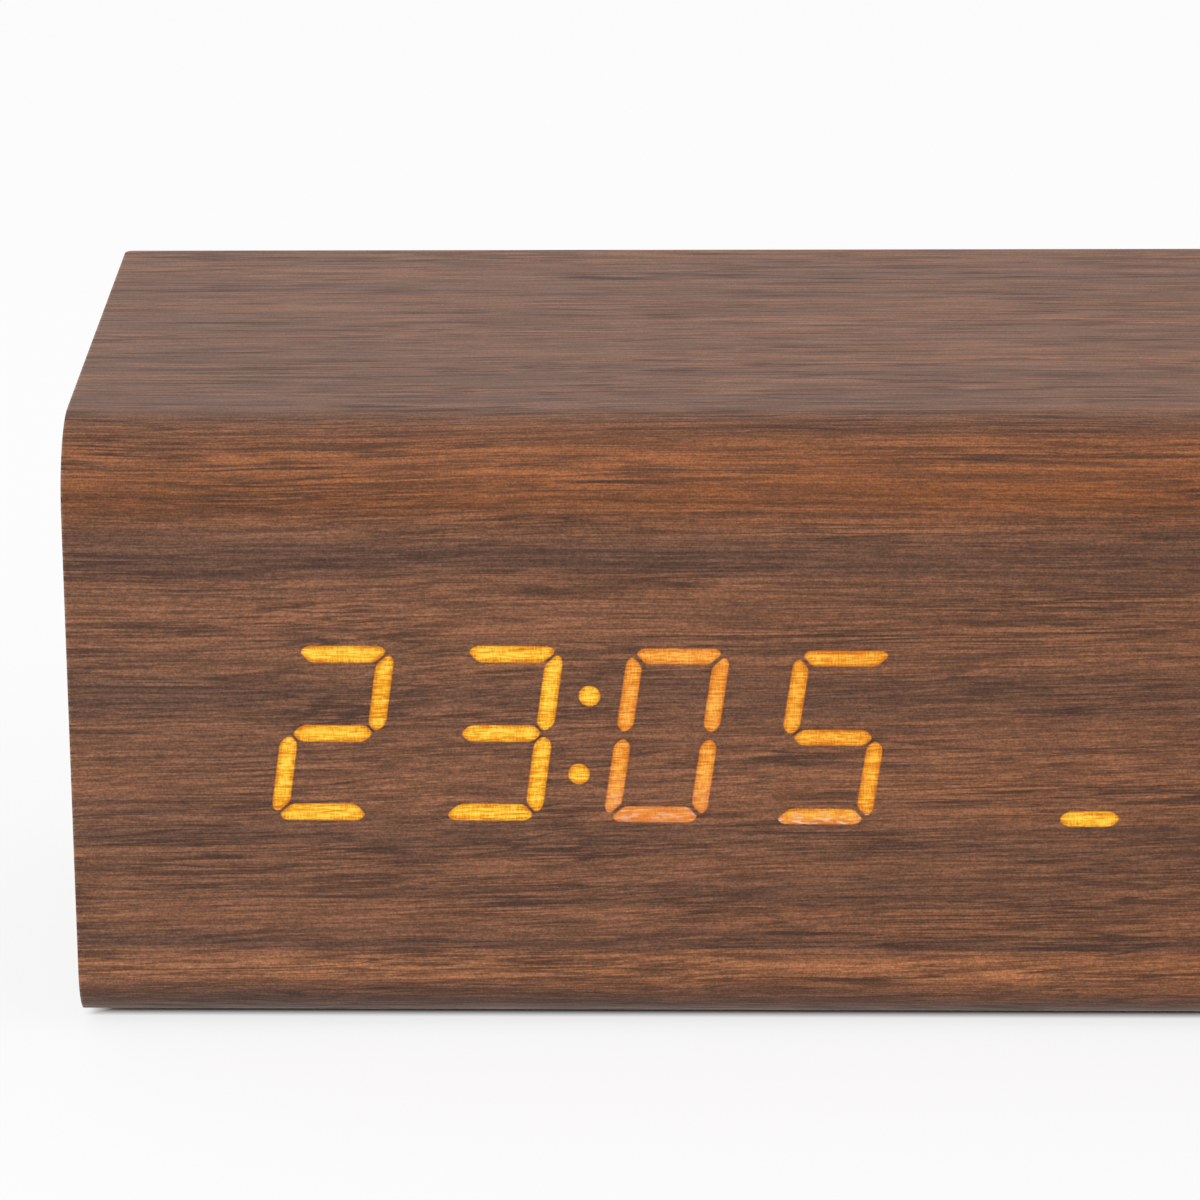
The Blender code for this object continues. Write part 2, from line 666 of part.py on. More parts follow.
def make_light_box(plastic):
    low = (DISPLAY_LOW_X, LIGHT_BOX_FRONT_Y, DISPLAY_Z - DISPLAY_HALF_HEIGHT)
    high = (DISPLAY_HIGH_X, LIGHT_BOX_REAR_Y, DISPLAY_Z + DISPLAY_HALF_HEIGHT)
    body = block("light_box", low, high, plastic)
    ear_front = INNER_FRONT_Y + SEAT_GAP
    ears = []
    cutters = []
    for number, (x, z) in enumerate(ear_places(), 1):
        side = 1 if x > 0 else -1
        inner = x - side * (EAR_REACH / 2 + OVERRUN)
        outer = x + side * EAR_REACH / 2
        ear_low = (min(inner, outer), ear_front, z - EAR_HEIGHT / 2)
        ear_high = (max(inner, outer), ear_front + EAR_THICKNESS, z + EAR_HEIGHT / 2)
        ears.append(block(f"ear_{number}", ear_low, ear_high))
        through = EAR_THICKNESS + OVERRUN
        cutters.append(hole(f"ear_hole_{number}", (x, ear_front, z), (0, 1, 0), HOLE_RADIUS, through))
    join(body, gather("add_light_box_ears", ears))
    wells = [make_well(number, *window) for number, window in enumerate(light_windows(), 1)]
    return cut(body, gather("cut_light_wells", wells), gather("cut_ear_holes", cutters))


def make_film(plastic):
    low = (DISPLAY_LOW_X, FILM_FRONT_Y, DISPLAY_Z - DISPLAY_HALF_HEIGHT)
    high = (DISPLAY_HIGH_X, FILM_FRONT_Y + FILM_THICKNESS, DISPLAY_Z + DISPLAY_HALF_HEIGHT)
    return block("diffuser_film", low, high, plastic)


def raised_block(name, middle, size, base, rise, axis):
    """A part soldered to a board, sunk a little into it; rise may be negative."""
    half_u = size[0] / 2
    half_v = size[1] / 2
    sunk = base - math.copysign(BOARD_SINK, rise)
    span = sorted((sunk, base + rise))
    outline = rounded_rectangle(middle, half_u, half_v, min(half_u, half_v) * PART_CORNER_SHARE, 1)
    if axis == "y":
        return plate_y(name, outline, *span)
    return plate_z(name, outline, *span)


def display_plug_place():
    """Middle of the display board's lead socket, (x, z)."""
    return ((DISPLAY_LOW_X + DISPLAY_HIGH_X) / 2, DISPLAY_Z - DISPLAY_HALF_HEIGHT * DISPLAY_PLUG_DROP_SHARE)


def make_display_board(laminate):
    low = (DISPLAY_LOW_X, DISPLAY_BOARD_FRONT_Y, DISPLAY_Z - DISPLAY_HALF_HEIGHT)
    high = (DISPLAY_HIGH_X, DISPLAY_BOARD_REAR_Y, DISPLAY_Z + DISPLAY_HALF_HEIGHT)
    board = block("display_board", low, high, laminate)
    parts = []
    for number, (middle, _) in enumerate(light_windows(), 1):
        front = DISPLAY_BOARD_FRONT_Y - SEAT_GAP - LED_RISE
        lamp_low = (middle[0] - LED_SIZE / 2, front, middle[1] - LED_SIZE / 2)
        lamp_high = (middle[0] + LED_SIZE / 2, DISPLAY_BOARD_FRONT_Y + BOARD_SINK, middle[1] + LED_SIZE / 2)
        parts.append(block(f"lamp_{number}", lamp_low, lamp_high))
    plug = display_plug_place()
    parts.append(
        raised_block("plug", plug, (PLUG_LENGTH, PLUG_WIDTH), DISPLAY_BOARD_REAR_Y, PLUG_RISE, "y")
    )
    for side in (-1, 1):
        chip = (plug[0] + side * (PLUG_LENGTH + CHIP_LENGTH), DISPLAY_Z)
        parts.append(
            raised_block("chip", chip, (CHIP_LENGTH, CHIP_WIDTH), DISPLAY_BOARD_REAR_Y, CHIP_RISE, "y")
        )
    return join(board, gather("add_display_board_parts", parts))


# Charging

def coil_path():
    """The wire from the board up through the shield, round its turns and down again."""
    inner = COIL_INNER_RADIUS
    outer = COIL_OUTER_RADIUS
    foot = CHARGER_HIGH_Z + SEAT_GAP
    bend = WIRE_BEND_RADIUS
    quarter = [math.pi / 2 * step / WIRE_BEND_STEPS for step in range(WIRE_BEND_STEPS)]
    points = [(inner, -bend, foot)]
    points += [(inner, -bend * math.cos(a), COIL_Z - bend + bend * math.sin(a)) for a in quarter]
    for step in range(COIL_TURN_COUNT * COIL_POINTS + 1):
        angle = math.tau * step / COIL_POINTS
        radius = inner + COIL_PITCH * step / COIL_POINTS
        points.append((radius * math.cos(angle), radius * math.sin(angle), COIL_Z))
    points += [(outer, bend * math.cos(a), COIL_Z - bend + bend * math.sin(a)) for a in quarter[::-1]]
    points.append((outer, bend, foot))
    return points


def least_gap(points, diameter):
    """Smallest clear distance between stretches of a wire that aren't neighbours along it."""
    lengths = [0.0]
    for before, after in zip(points, points[1:]):
        lengths.append(lengths[-1] + math.dist(before, after))
    least = math.inf
    for index, point in enumerate(points):
        for other in range(index + 1, len(points)):
            if lengths[other] - lengths[index] > math.pi * diameter:
                least = min(least, math.dist(point, points[other]))
    return least - diameter


def make_tube(name, points, diameter, material):
    """A solid round wire along the points, with closed ends."""
    curve = bpy.data.curves.new(name, "CURVE")
    curve.dimensions = "3D"
    curve.bevel_depth = diameter / 2
    curve.bevel_resolution = 1
    curve.use_fill_caps = True
    spline = curve.splines.new("POLY")
    spline.points.add(len(points) - 1)
    for target, point in zip(spline.points, points):
        target.co = (*point, 1.0)
    spline.use_smooth = True
    return add_object(name, curve, material)


def wire_holes(prefix, low, high):
    """Cutters for the coil's two lead holes."""
    radius = WIRE_DIAMETER / 2 + SEAT_GAP
    span = high - low + OVERRUN
    return [
        hole(prefix + "_inner", (COIL_INNER_RADIUS, -WIRE_BEND_RADIUS, low), (0, 0, 1), radius, span),
        hole(prefix + "_outer", (COIL_OUTER_RADIUS, WIRE_BEND_RADIUS, low), (0, 0, 1), radius, span),
    ]


def make_shield(ferrite):
    outline = circle((0, 0), SHIELD_RADIUS, ROUND_STEPS * 2)
    shield = plate_z("ferrite_shield", outline, SHIELD_LOW_Z, SHIELD_HIGH_Z, ferrite)
    return cut(shield, *wire_holes("cut_shield_wire_hole", SHIELD_LOW_Z, SHIELD_HIGH_Z))


def charger_screw_places():
    """Middles of the charger board's four screws, (x, y)."""
    reach_x = CHARGER_LENGTH / 2 - CHARGER_SCREW_INSET
    reach_y = CHARGER_WIDTH / 2 - CHARGER_SCREW_INSET
    return [(side * reach_x, end * reach_y) for end in (-1, 1) for side in (-1, 1)]


def make_tray(plastic):
    """The plate that holds coil and shield in their pocket, with posts for the board below."""
    outline = rounded_rectangle((0, 0), TRAY_HALF_SIZE, TRAY_HALF_SIZE, TRAY_CORNER_RADIUS)
    tray = plate_z("coil_tray", outline, TRAY_LOW_Z, TRAY_HIGH_Z, plastic)
    posts = []
    cutters = wire_holes("tray_wire_hole", TRAY_LOW_Z, TRAY_HIGH_Z)
    for number, (x, y) in enumerate(charger_screw_places(), 1):
        foot = TRAY_LOW_Z - POST_LENGTH
        post = [(0, BOSS_RADIUS), (POST_LENGTH + TRAY_THICKNESS / 2, BOSS_RADIUS)]
        posts.append(turned(f"post_{number}", (x, y, foot), (0, 0, 1), post))
        cutters.append(screw_hole(f"post_hole_{number}", (x, y, foot), (0, 0, 1), 0))
    for number, (x, y) in enumerate(tray_screw_places(), 1):
        cutters.append(
            hole(f"tray_hole_{number}", (x, y, TRAY_LOW_Z), (0, 0, 1), HOLE_RADIUS, TRAY_THICKNESS + OVERRUN)
        )
    join(tray, gather("add_tray_posts", posts))
    return cut(tray, gather("cut_tray_holes", cutters))


def on_charger(shares):
    """A place on the charger board, (x, y), from shares of its length and width."""
    return (CHARGER_LENGTH * shares[0], CHARGER_WIDTH * shares[1])


def make_charger_board(laminate):
    low = (-CHARGER_LENGTH / 2, -CHARGER_WIDTH / 2, CHARGER_LOW_Z)
    high = (CHARGER_LENGTH / 2, CHARGER_WIDTH / 2, CHARGER_HIGH_Z)
    board = block("charger_board", low, high, laminate)
    mounted = (
        ("inductor", INDUCTOR_SHARES, (INDUCTOR_SIZE, INDUCTOR_SIZE), INDUCTOR_RISE),
        ("chip", CHARGER_CHIP_SHARES, (CHIP_WIDTH, CHIP_WIDTH), CHIP_RISE),
        ("plug", CHARGER_PLUG_SHARES, (PLUG_LENGTH, PLUG_WIDTH), PLUG_RISE),
    )
    parts = []
    for name, shares, size, rise in mounted:
        parts.append(raised_block(name, on_charger(shares), size, CHARGER_LOW_Z, -rise, "z"))
    for number in range(CAPACITOR_COUNT):
        x, y = on_charger(FIRST_CAPACITOR_SHARES)
        top = (x + number * CAPACITOR_PITCH, y, CHARGER_LOW_Z + BOARD_SINK)
        profile = [(0, CAPACITOR_RADIUS), (CAPACITOR_RISE, CAPACITOR_RADIUS)]
        parts.append(turned("capacitor", top, (0, 0, -1), profile))
    cutters = []
    for number, (x, y) in enumerate(charger_screw_places(), 1):
        span = BOARD_THICKNESS + OVERRUN
        cutters.append(hole(f"charger_hole_{number}", (x, y, CHARGER_LOW_Z), (0, 0, 1), HOLE_RADIUS, span))
    join(board, gather("add_charger_board_parts", parts))
    return cut(board, gather("cut_charger_board_holes", cutters))


# Rear panel and what it carries

def main_screw_places():
    """Middles of the main board's four screws, (x, z)."""
    reach_x = MAIN_LENGTH / 2 - MAIN_SCREW_INSET
    reach_z = MAIN_HEIGHT / 2 - MAIN_SCREW_INSET
    return [(side * reach_x, MAIN_Z + end * reach_z) for end in (-1, 1) for side in (-1, 1)]


def button_place(number):
    return (MAIN_LOW_X + BUTTON_FIRST_INSET + number * BUTTON_PITCH, BUTTON_Z)


def pill(centre, length, width):
    """Outline of a slot with round ends."""
    return rounded_rectangle(centre, length / 2, width / 2, width / 2 * PILL_SHARE)


def through_panel(name, outline):
    """A cutter that passes right through the rear panel."""
    return plate_y(name, outline, PANEL_INNER_Y - OVERRUN, PANEL_OUTER_Y + OVERRUN)


def make_rear_panel(plastic):
    half_height = (PANEL_HIGH_Z - PANEL_LOW_Z) / 2
    centre = (0, PANEL_LOW_Z + half_height)
    outline = rounded_rectangle(centre, PANEL_HALF_LENGTH, half_height, REAR_CORNER_RADIUS)
    panel = plate_y("rear_panel", outline, PANEL_INNER_Y, PANEL_OUTER_Y, plastic)
    bosses = []
    holes = []
    for number, (x, z) in enumerate(main_screw_places(), 1):
        foot = (x, PANEL_INNER_Y - STANDOFF, z)
        boss = [(0, BOSS_RADIUS), (STANDOFF + REAR_THICKNESS / 2, BOSS_RADIUS)]
        bosses.append(turned(f"boss_{number}", foot, (0, 1, 0), boss))
        holes.append(screw_hole(f"boss_hole_{number}", foot, (0, 1, 0), 0))
    for number, (x, z) in enumerate(rear_screw_places(), 1):
        through = REAR_THICKNESS + OVERRUN
        holes.append(hole(f"panel_hole_{number}", (x, PANEL_OUTER_Y, z), (0, -1, 0), HOLE_RADIUS, through))
    for number in range(len(BUTTON_NAMES)):
        place = button_place(number)
        opening = pill(place, BUTTON_LENGTH + 2 * SEAT_GAP, BUTTON_WIDTH + 2 * SEAT_GAP)
        holes.append(through_panel(f"button_hole_{number}", opening))
    inlet = pill((INLET_X, INLET_Z), INLET_WIDTH + 2 * SEAT_GAP, INLET_HEIGHT + 2 * SEAT_GAP)
    holes.append(through_panel("inlet_hole", inlet))
    for number in range(VENT_COUNT):
        x = (number - (VENT_COUNT - 1) / 2) * VENT_PITCH
        middle = (x, PANEL_HIGH_Z - VENT_DROP)
        slot = rounded_rectangle(middle, VENT_WIDTH / 2, VENT_HEIGHT / 2, VENT_CORNER_RADIUS, 2)
        holes.append(through_panel(f"vent_{number}", slot))
    for x, z in circle((BUZZER_X, BUZZER_Z), SOUND_RING_RADIUS, SOUND_HOLE_COUNT):
        holes.append(through_panel("sound_hole", circle((x, z), SOUND_HOLE_RADIUS, SMALL_ROUND_STEPS)))
    cell = (CELL_X, MAIN_Z)
    opening = rounded_rectangle(cell, OPENING_HALF_SIZE, OPENING_HALF_SIZE, DOOR_CORNER_RADIUS)
    holes.append(through_panel("door_hole", opening))
    seat = rounded_rectangle(cell, DOOR_HALF_SIZE + SEAT_GAP, DOOR_HALF_SIZE + SEAT_GAP, DOOR_CORNER_RADIUS)
    rebate = plate_y("cut_door_rebate", seat, DOOR_INNER_Y - SEAT_GAP, PANEL_OUTER_Y + OVERRUN)
    sinks = []
    for number, (x, z) in enumerate(rear_screw_places(), 1):
        radius = SCREW_HEAD_RADIUS + SEAT_GAP
        depth = SCREW_HEAD_HEIGHT + SEAT_GAP
        sinks.append(hole(f"sink_{number}", (x, PANEL_OUTER_Y, z), (0, -1, 0), radius, depth))
    join(panel, gather("add_panel_bosses", bosses))
    return cut(panel, gather("cut_panel_holes", holes), rebate, gather("cut_panel_sinks", sinks))


def make_rear_screw(name, place, steel):
    """Its head lies sunk in the panel and its shank bites into a batten."""
    depth = SCREW_HEAD_HEIGHT + SEAT_GAP
    seat = (place[0], PANEL_OUTER_Y - depth, place[1])
    grip = REAR_THICKNESS - depth + SEAT_GAP
    return screw(name, seat, (0, -1, 0), grip, steel)


def main_plug_places():
    """Middles of the two lead sockets on the main board's front, (x, z)."""
    reach = MAIN_LENGTH * MAIN_PLUG_SHARE
    return {"display": (-reach, MAIN_Z), "charger": (reach, MAIN_Z)}


def make_main_board(laminate):
    low = (MAIN_LOW_X, MAIN_FRONT_Y, MAIN_LOW_Z)
    high = (MAIN_HIGH_X, MAIN_REAR_Y, MAIN_HIGH_Z)
    board = block("main_board", low, high, laminate)
    parts = [raised_block("chip", (0, MAIN_Z), (CHIP_LENGTH, CHIP_WIDTH), MAIN_FRONT_Y, -CHIP_RISE, "y")]
    for place in main_plug_places().values():
        parts.append(raised_block("plug", place, (PLUG_LENGTH, PLUG_WIDTH), MAIN_FRONT_Y, -PLUG_RISE, "y"))
    cutters = []
    for number, (x, z) in enumerate(main_screw_places(), 1):
        span = BOARD_THICKNESS + OVERRUN
        cutters.append(hole(f"main_hole_{number}", (x, MAIN_FRONT_Y, z), (0, 1, 0), HOLE_RADIUS, span))
    join(board, gather("add_main_board_parts", parts))
    return cut(board, gather("cut_main_board_holes", cutters))


def make_button(name, place, pivot, plastic):
    """A pill cap with a flange behind the panel and a short stem onto its switch."""
    cap_top = PANEL_OUTER_Y + BUTTON_PROUD
    flange = pill(place, BUTTON_LENGTH + 2 * FLANGE_REACH, BUTTON_WIDTH + 2 * FLANGE_REACH)
    cap = pill(place, BUTTON_LENGTH, BUTTON_WIDTH)
    edge = pill(place, BUTTON_LENGTH - 2 * BUTTON_EDGE, BUTTON_WIDTH - 2 * BUTTON_EDGE)
    stem = pill(place, 2 * PLUNGER_RADIUS, 2 * PLUNGER_RADIUS)
    sections = [
        along_y(stem, PLUNGER_TOP_Y + SEAT_GAP),
        along_y(stem, FLANGE_INNER_Y),
        along_y(flange, FLANGE_INNER_Y),
        along_y(flange, FLANGE_OUTER_Y),
        along_y(cap, FLANGE_OUTER_Y),
        along_y(cap, cap_top - BUTTON_EDGE),
        along_y(edge, cap_top),
    ]
    button = loft(name, sections, plastic)
    return hang(button, pivot)


def make_plunger(name, place, pivot, plastic):
    """The switch's moving peg, with room below it for the press."""
    x, z = place
    foot = ON_MAIN_Y + SWITCH_FLOOR + SEAT_GAP + BUTTON_TRAVEL
    profile = [(0, PLUNGER_RADIUS), (PLUNGER_TOP_Y - foot, PLUNGER_RADIUS)]
    plunger = turned(name, (x, foot, z), (0, 1, 0), profile, plastic)
    return hang(plunger, pivot)


def make_switch(name, place, plastic):
    x, z = place
    half = SWITCH_SIZE / 2
    switch = block(name, (x - half, ON_MAIN_Y, z - half), (x + half, SWITCH_TOP_Y, z + half), plastic)
    depth = SWITCH_HEIGHT - SWITCH_FLOOR
    bore = hole("cut_" + name, (x, SWITCH_TOP_Y, z), (0, -1, 0), PLUNGER_RADIUS + SEAT_GAP, depth)
    return cut(switch, bore)


def hang(obj, pivot):
    """Set a moving piece's origin on its joint."""
    for vertex in obj.data.vertices:
        vertex.co -= Vector(pivot)
    obj.location = pivot
    return obj


def make_inlet(metal):
    """A power socket: an oval shell with a tongue inside."""
    place = (INLET_X, INLET_Z)
    mouth = PANEL_OUTER_Y - SEAT_GAP
    floor = mouth - INLET_DEPTH
    shell = plate_y("power_inlet", pill(place, INLET_WIDTH, INLET_HEIGHT), ON_MAIN_Y, mouth, metal)
    bore = pill(place, INLET_WIDTH - 2 * INLET_WALL, INLET_HEIGHT - 2 * INLET_WALL)
    cutter = plate_y("cut_inlet", bore, floor, mouth + OVERRUN)
    tongue = rounded_rectangle(place, TONGUE_WIDTH / 2, TONGUE_THICKNESS / 2, TONGUE_EDGE, 1)
    peg = plate_y("add_inlet_tongue", tongue, floor - INLET_WALL, floor + TONGUE_LENGTH)
    cut(shell, cutter)
    return join(shell, peg)


def make_cell(metal):
    """A coin cell whose free face, towards the door, has the usual stepped edge."""
    base = (CELL_X, ON_MAIN_Y + HOLDER_FLOOR + SEAT_GAP, MAIN_Z)
    step = CELL_RADIUS - CELL_STEP_INSET
    profile = [(0, step), (CELL_STEP, CELL_RADIUS), (CELL_THICKNESS - CELL_STEP / 2, CELL_RADIUS)]
    profile.append((CELL_THICKNESS, CELL_RADIUS - CELL_STEP / 2))
    return turned("coin_cell", base, (0, 1, 0), profile, metal, ROUND_STEPS)


def make_holder(plastic):
    """A square cup soldered to the main board, with two lips that keep the cell in."""
    centre = (CELL_X, MAIN_Z)
    outline = rounded_rectangle(centre, HOLDER_HALF_SIZE, HOLDER_HALF_SIZE, HOLDER_CORNER_RADIUS)
    top = HOLDER_TOP_Y + LIP_THICKNESS
    holder = plate_y("cell_holder", outline, ON_MAIN_Y, top, plastic)
    pocket = circle(centre, HOLDER_POCKET_RADIUS)
    bowl = plate_y("cut_holder_pocket", pocket, ON_MAIN_Y + HOLDER_FLOOR, top + OVERRUN)
    lips = []
    for side in (-1, 1):
        edge = MAIN_Z + side * HOLDER_POCKET_RADIUS
        ends = sorted((edge + side * HOLDER_WALL / 2, edge - side * LIP_REACH))
        low = (CELL_X - LIP_LENGTH / 2, HOLDER_TOP_Y, ends[0])
        high = (CELL_X + LIP_LENGTH / 2, top - LIP_SINK, ends[1])
        lips.append(block("lip", low, high))
    cut(holder, bowl)
    return join(holder, gather("add_holder_lips", lips))


def make_door(plastic, pivot):
    """A lift-off door that sits flush in its rebate, with two ribs that centre it."""
    centre = (CELL_X, MAIN_Z)
    outline = rounded_rectangle(centre, DOOR_HALF_SIZE, DOOR_HALF_SIZE, DOOR_CORNER_RADIUS - SEAT_GAP)
    door = plate_y("battery_door", outline, DOOR_INNER_Y, PANEL_OUTER_Y, plastic)
    reach = OPENING_HALF_SIZE - SEAT_GAP
    ribs = []
    for side in (-1, 1):
        ends = sorted((CELL_X + side * reach, CELL_X + side * (reach - DOOR_RIB_WIDTH)))
        low = (ends[0], DOOR_INNER_Y - DOOR_RIB_DROP, MAIN_Z - reach / 2)
        high = (ends[1], DOOR_INNER_Y + DOOR_THICKNESS / 2, MAIN_Z + reach / 2)
        ribs.append(block("rib", low, high))
    notch_z = MAIN_Z - DOOR_HALF_SIZE
    notch = block(
        "cut_door_notch",
        (CELL_X - DOOR_NOTCH_WIDTH / 2, PANEL_OUTER_Y - DOOR_NOTCH_DEPTH, notch_z - OVERRUN),
        (CELL_X + DOOR_NOTCH_WIDTH / 2, PANEL_OUTER_Y + OVERRUN, notch_z + DOOR_NOTCH_REACH),
    )
    join(door, gather("add_door_ribs", ribs))
    cut(door, notch)
    for tool in [door] + [modifier.object for modifier in door.modifiers]:
        hang(tool, pivot)
    return door


def make_buzzer(plastic):
    base = (BUZZER_X, ON_MAIN_Y, BUZZER_Z)
    profile = [
        (0, BUZZER_RADIUS),
        (BUZZER_HEIGHT - BUZZER_EDGE, BUZZER_RADIUS),
        (BUZZER_HEIGHT, BUZZER_RADIUS - BUZZER_EDGE),
    ]
    buzzer = turned("buzzer", base, (0, 1, 0), profile, plastic, ROUND_STEPS)
    top = (BUZZER_X, ON_MAIN_Y + BUZZER_HEIGHT, BUZZER_Z)
    return cut(buzzer, hole("cut_buzzer", top, (0, -1, 0), BUZZER_HOLE_RADIUS, BUZZER_HEIGHT / 2))


# Leads

def lead_path(start, start_direction, end, end_direction):
    """A smooth run that leaves and meets its sockets squarely."""
    start = Vector(start) + Vector(start_direction) * SEAT_GAP
    end = Vector(end) + Vector(end_direction) * SEAT_GAP
    first = start + Vector(start_direction) * LEAD_STRAIGHT
    last = end + Vector(end_direction) * LEAD_STRAIGHT
    pull = (last - first).length / 2
    first_pull = first + Vector(start_direction) * pull
    last_pull = last + Vector(end_direction) * pull
    points = [start]
    for step in range(LEAD_POINTS + 1):
        t = step / LEAD_POINTS
        u = 1 - t
        points.append(u**3 * first + 3 * u * u * t * first_pull + 3 * u * t * t * last_pull + t**3 * last)
    points.append(end)
    return [tuple(point) for point in points]


def make_leads(rubber):
    plug = display_plug_place()
    mains = main_plug_places()
    start = (plug[0], DISPLAY_BOARD_REAR_Y + PLUG_RISE, plug[1])
    end = (mains["display"][0], MAIN_FRONT_Y - PLUG_RISE, mains["display"][1])
    make_tube("display_lead", lead_path(start, (0, 1, 0), end, (0, -1, 0)), LEAD_DIAMETER, rubber)
    charger = on_charger(CHARGER_PLUG_SHARES)
    start = (charger[0], charger[1], CHARGER_LOW_Z - PLUG_RISE)
    end = (mains["charger"][0], MAIN_FRONT_Y - PLUG_RISE, mains["charger"][1])
    make_tube("charger_lead", lead_path(start, (0, 0, -1), end, (0, -1, 0)), LEAD_DIAMETER, rubber)


def build():
    wood = finish("walnut_veneer", (0.19, 0.08, 0.045), 0.45)
    batten = finish("pine_batten", (0.55, 0.38, 0.2), 0.8)
    black = finish("black_plastic", (0.02, 0.02, 0.022), 0.5)
    white = finish("white_plastic", (0.85, 0.85, 0.83), 0.4)
    film = finish("frosted_film", (0.9, 0.9, 0.88), 0.6)
    laminate = finish("board_laminate", (0.03, 0.14, 0.06), 0.5)
    ferrite = finish("ferrite", (0.06, 0.06, 0.065), 0.7)
    copper = finish("copper_wire", (0.72, 0.33, 0.14), 0.35, 1.0)
    steel = finish("steel", (0.5, 0.5, 0.5), 0.3, 1.0)
    rubber = finish("rubber", (0.025, 0.025, 0.025), 0.85)
    sleeve = finish("lead_sleeve", (0.5, 0.05, 0.04), 0.5)

    make_casing(wood)
    make_end_panel("left_end_panel", -1, wood)
    make_end_panel("right_end_panel", 1, wood)
    make_cleat("left_cleat", -1, batten)
    make_cleat("right_cleat", 1, batten)
    for number, place in enumerate(foot_places(), 1):
        make_foot(f"rubber_foot_{number}", place, rubber)

    make_light_box(white)
    make_film(film)
    make_display_board(laminate)
    for number, (x, z) in enumerate(ear_places(), 1):
        seat = (x, INNER_FRONT_Y + SEAT_GAP + EAR_THICKNESS, z)
        screw(f"display_screw_{number}", seat, (0, -1, 0), EAR_THICKNESS + SEAT_GAP, steel)

    wire = coil_path()
    gap = least_gap(wire, WIRE_DIAMETER)
    print(f"charging coil: least gap to itself {gap / MM:.2f} mm")
    make_tube("charging_coil", wire, WIRE_DIAMETER, copper)
    make_shield(ferrite)
    make_tray(white)
    for number, (x, y) in enumerate(tray_screw_places(), 1):
        screw(f"tray_screw_{number}", (x, y, TRAY_LOW_Z), (0, 0, 1), TRAY_THICKNESS + SEAT_GAP, steel)
    make_charger_board(laminate)
    for number, (x, y) in enumerate(charger_screw_places(), 1):
        screw(f"charger_screw_{number}", (x, y, CHARGER_LOW_Z), (0, 0, 1), BOARD_THICKNESS + SEAT_GAP, steel)

    make_rear_panel(black)
    for number, place in enumerate(rear_screw_places(), 1):
        make_rear_screw(f"rear_screw_{number}", place, steel)
    make_main_board(laminate)
    for number, (x, z) in enumerate(main_screw_places(), 1):
        screw(f"main_screw_{number}", (x, MAIN_FRONT_Y, z), (0, 1, 0), BOARD_THICKNESS + SEAT_GAP, steel)
    for number, name in enumerate(BUTTON_NAMES):
        place = button_place(number)
        pivot = (place[0], PANEL_OUTER_Y, place[1])
        make_button(f"{name}_button", place, pivot, black)
        make_plunger(f"{name}_plunger", place, pivot, white)
        make_switch(f"{name}_switch", place, black)
    make_inlet(steel)
    make_holder(black)
    make_cell(steel)
    make_door(black, (CELL_X, PANEL_OUTER_Y, MAIN_Z))
    make_buzzer(black)
    make_leads(sleeve)


for old in list(bpy.data.objects):
    bpy.data.objects.remove(old)
build()
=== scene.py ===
import math

import bmesh
import bpy
from mathutils import Matrix, Vector


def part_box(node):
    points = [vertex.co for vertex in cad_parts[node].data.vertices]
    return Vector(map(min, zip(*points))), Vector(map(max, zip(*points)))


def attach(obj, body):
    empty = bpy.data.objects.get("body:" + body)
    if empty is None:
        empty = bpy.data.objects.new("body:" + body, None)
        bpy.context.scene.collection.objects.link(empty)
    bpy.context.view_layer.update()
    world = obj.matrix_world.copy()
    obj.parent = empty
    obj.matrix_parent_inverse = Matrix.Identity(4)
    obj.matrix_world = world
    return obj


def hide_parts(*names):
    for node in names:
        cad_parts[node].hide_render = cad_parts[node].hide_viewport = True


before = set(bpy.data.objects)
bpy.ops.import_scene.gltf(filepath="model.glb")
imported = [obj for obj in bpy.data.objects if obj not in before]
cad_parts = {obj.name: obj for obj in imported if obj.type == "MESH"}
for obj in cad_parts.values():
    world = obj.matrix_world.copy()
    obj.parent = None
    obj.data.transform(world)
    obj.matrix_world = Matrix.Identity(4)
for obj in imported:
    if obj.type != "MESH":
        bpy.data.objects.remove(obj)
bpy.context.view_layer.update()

# Casing. A fibreboard, wrapped in walnut veneer, is grooved and folded round the front, so that
# top, front and bottom are one piece with rounded front edges. The veneer is a skin of its own
# and stands past the board as a thin lip at each end, where the end panels go in.
MM = 0.001
CASING_LOW, CASING_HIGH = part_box("wood_casing")
UPPER_ROUND = 8.5 * MM
LOWER_ROUND = 5.5 * MM
UPPER_STEPS = 24
LOWER_STEPS = 18
WALL = 5.0 * MM
VENEER = 0.6 * MM
POCKET_FIT = 0.3 * MM
CORNER_WEAR = 0.8 * MM
# The veneer lies this far inside the solid's box, which leaves room for the light on it.
SHY = 0.02 * MM
# Kept off the box's ends, because rounding could carry a piece past them.
HAIR = 0.001 * MM


def focus(piece):
    """Leave edit mode and make a piece the active one and the only one selected."""
    if bpy.context.object.mode == "EDIT":
        bpy.ops.object.mode_set(mode="OBJECT")
    bpy.ops.object.select_all(action="DESELECT")
    piece.select_set(True)
    bpy.context.view_layer.objects.active = piece


def add(primitive, name, scale=(1, 1, 1), **settings):
    """Add a primitive by itself and put its size and place into its mesh."""
    bpy.ops.object.select_all(action="DESELECT")
    primitive(**settings)
    piece = bpy.context.object
    piece.name = piece.data.name = name
    piece.scale = scale
    bpy.ops.object.transform_apply(location=True, rotation=True, scale=True)
    return piece


def cuboid(name, low, high):
    """A cube primitive brought to the size and place between two corners."""
    low, high = Vector(low), Vector(high)
    cube = bpy.ops.mesh.primitive_cube_add
    return add(cube, name, size=1, location=(low + high) / 2, scale=high - low)


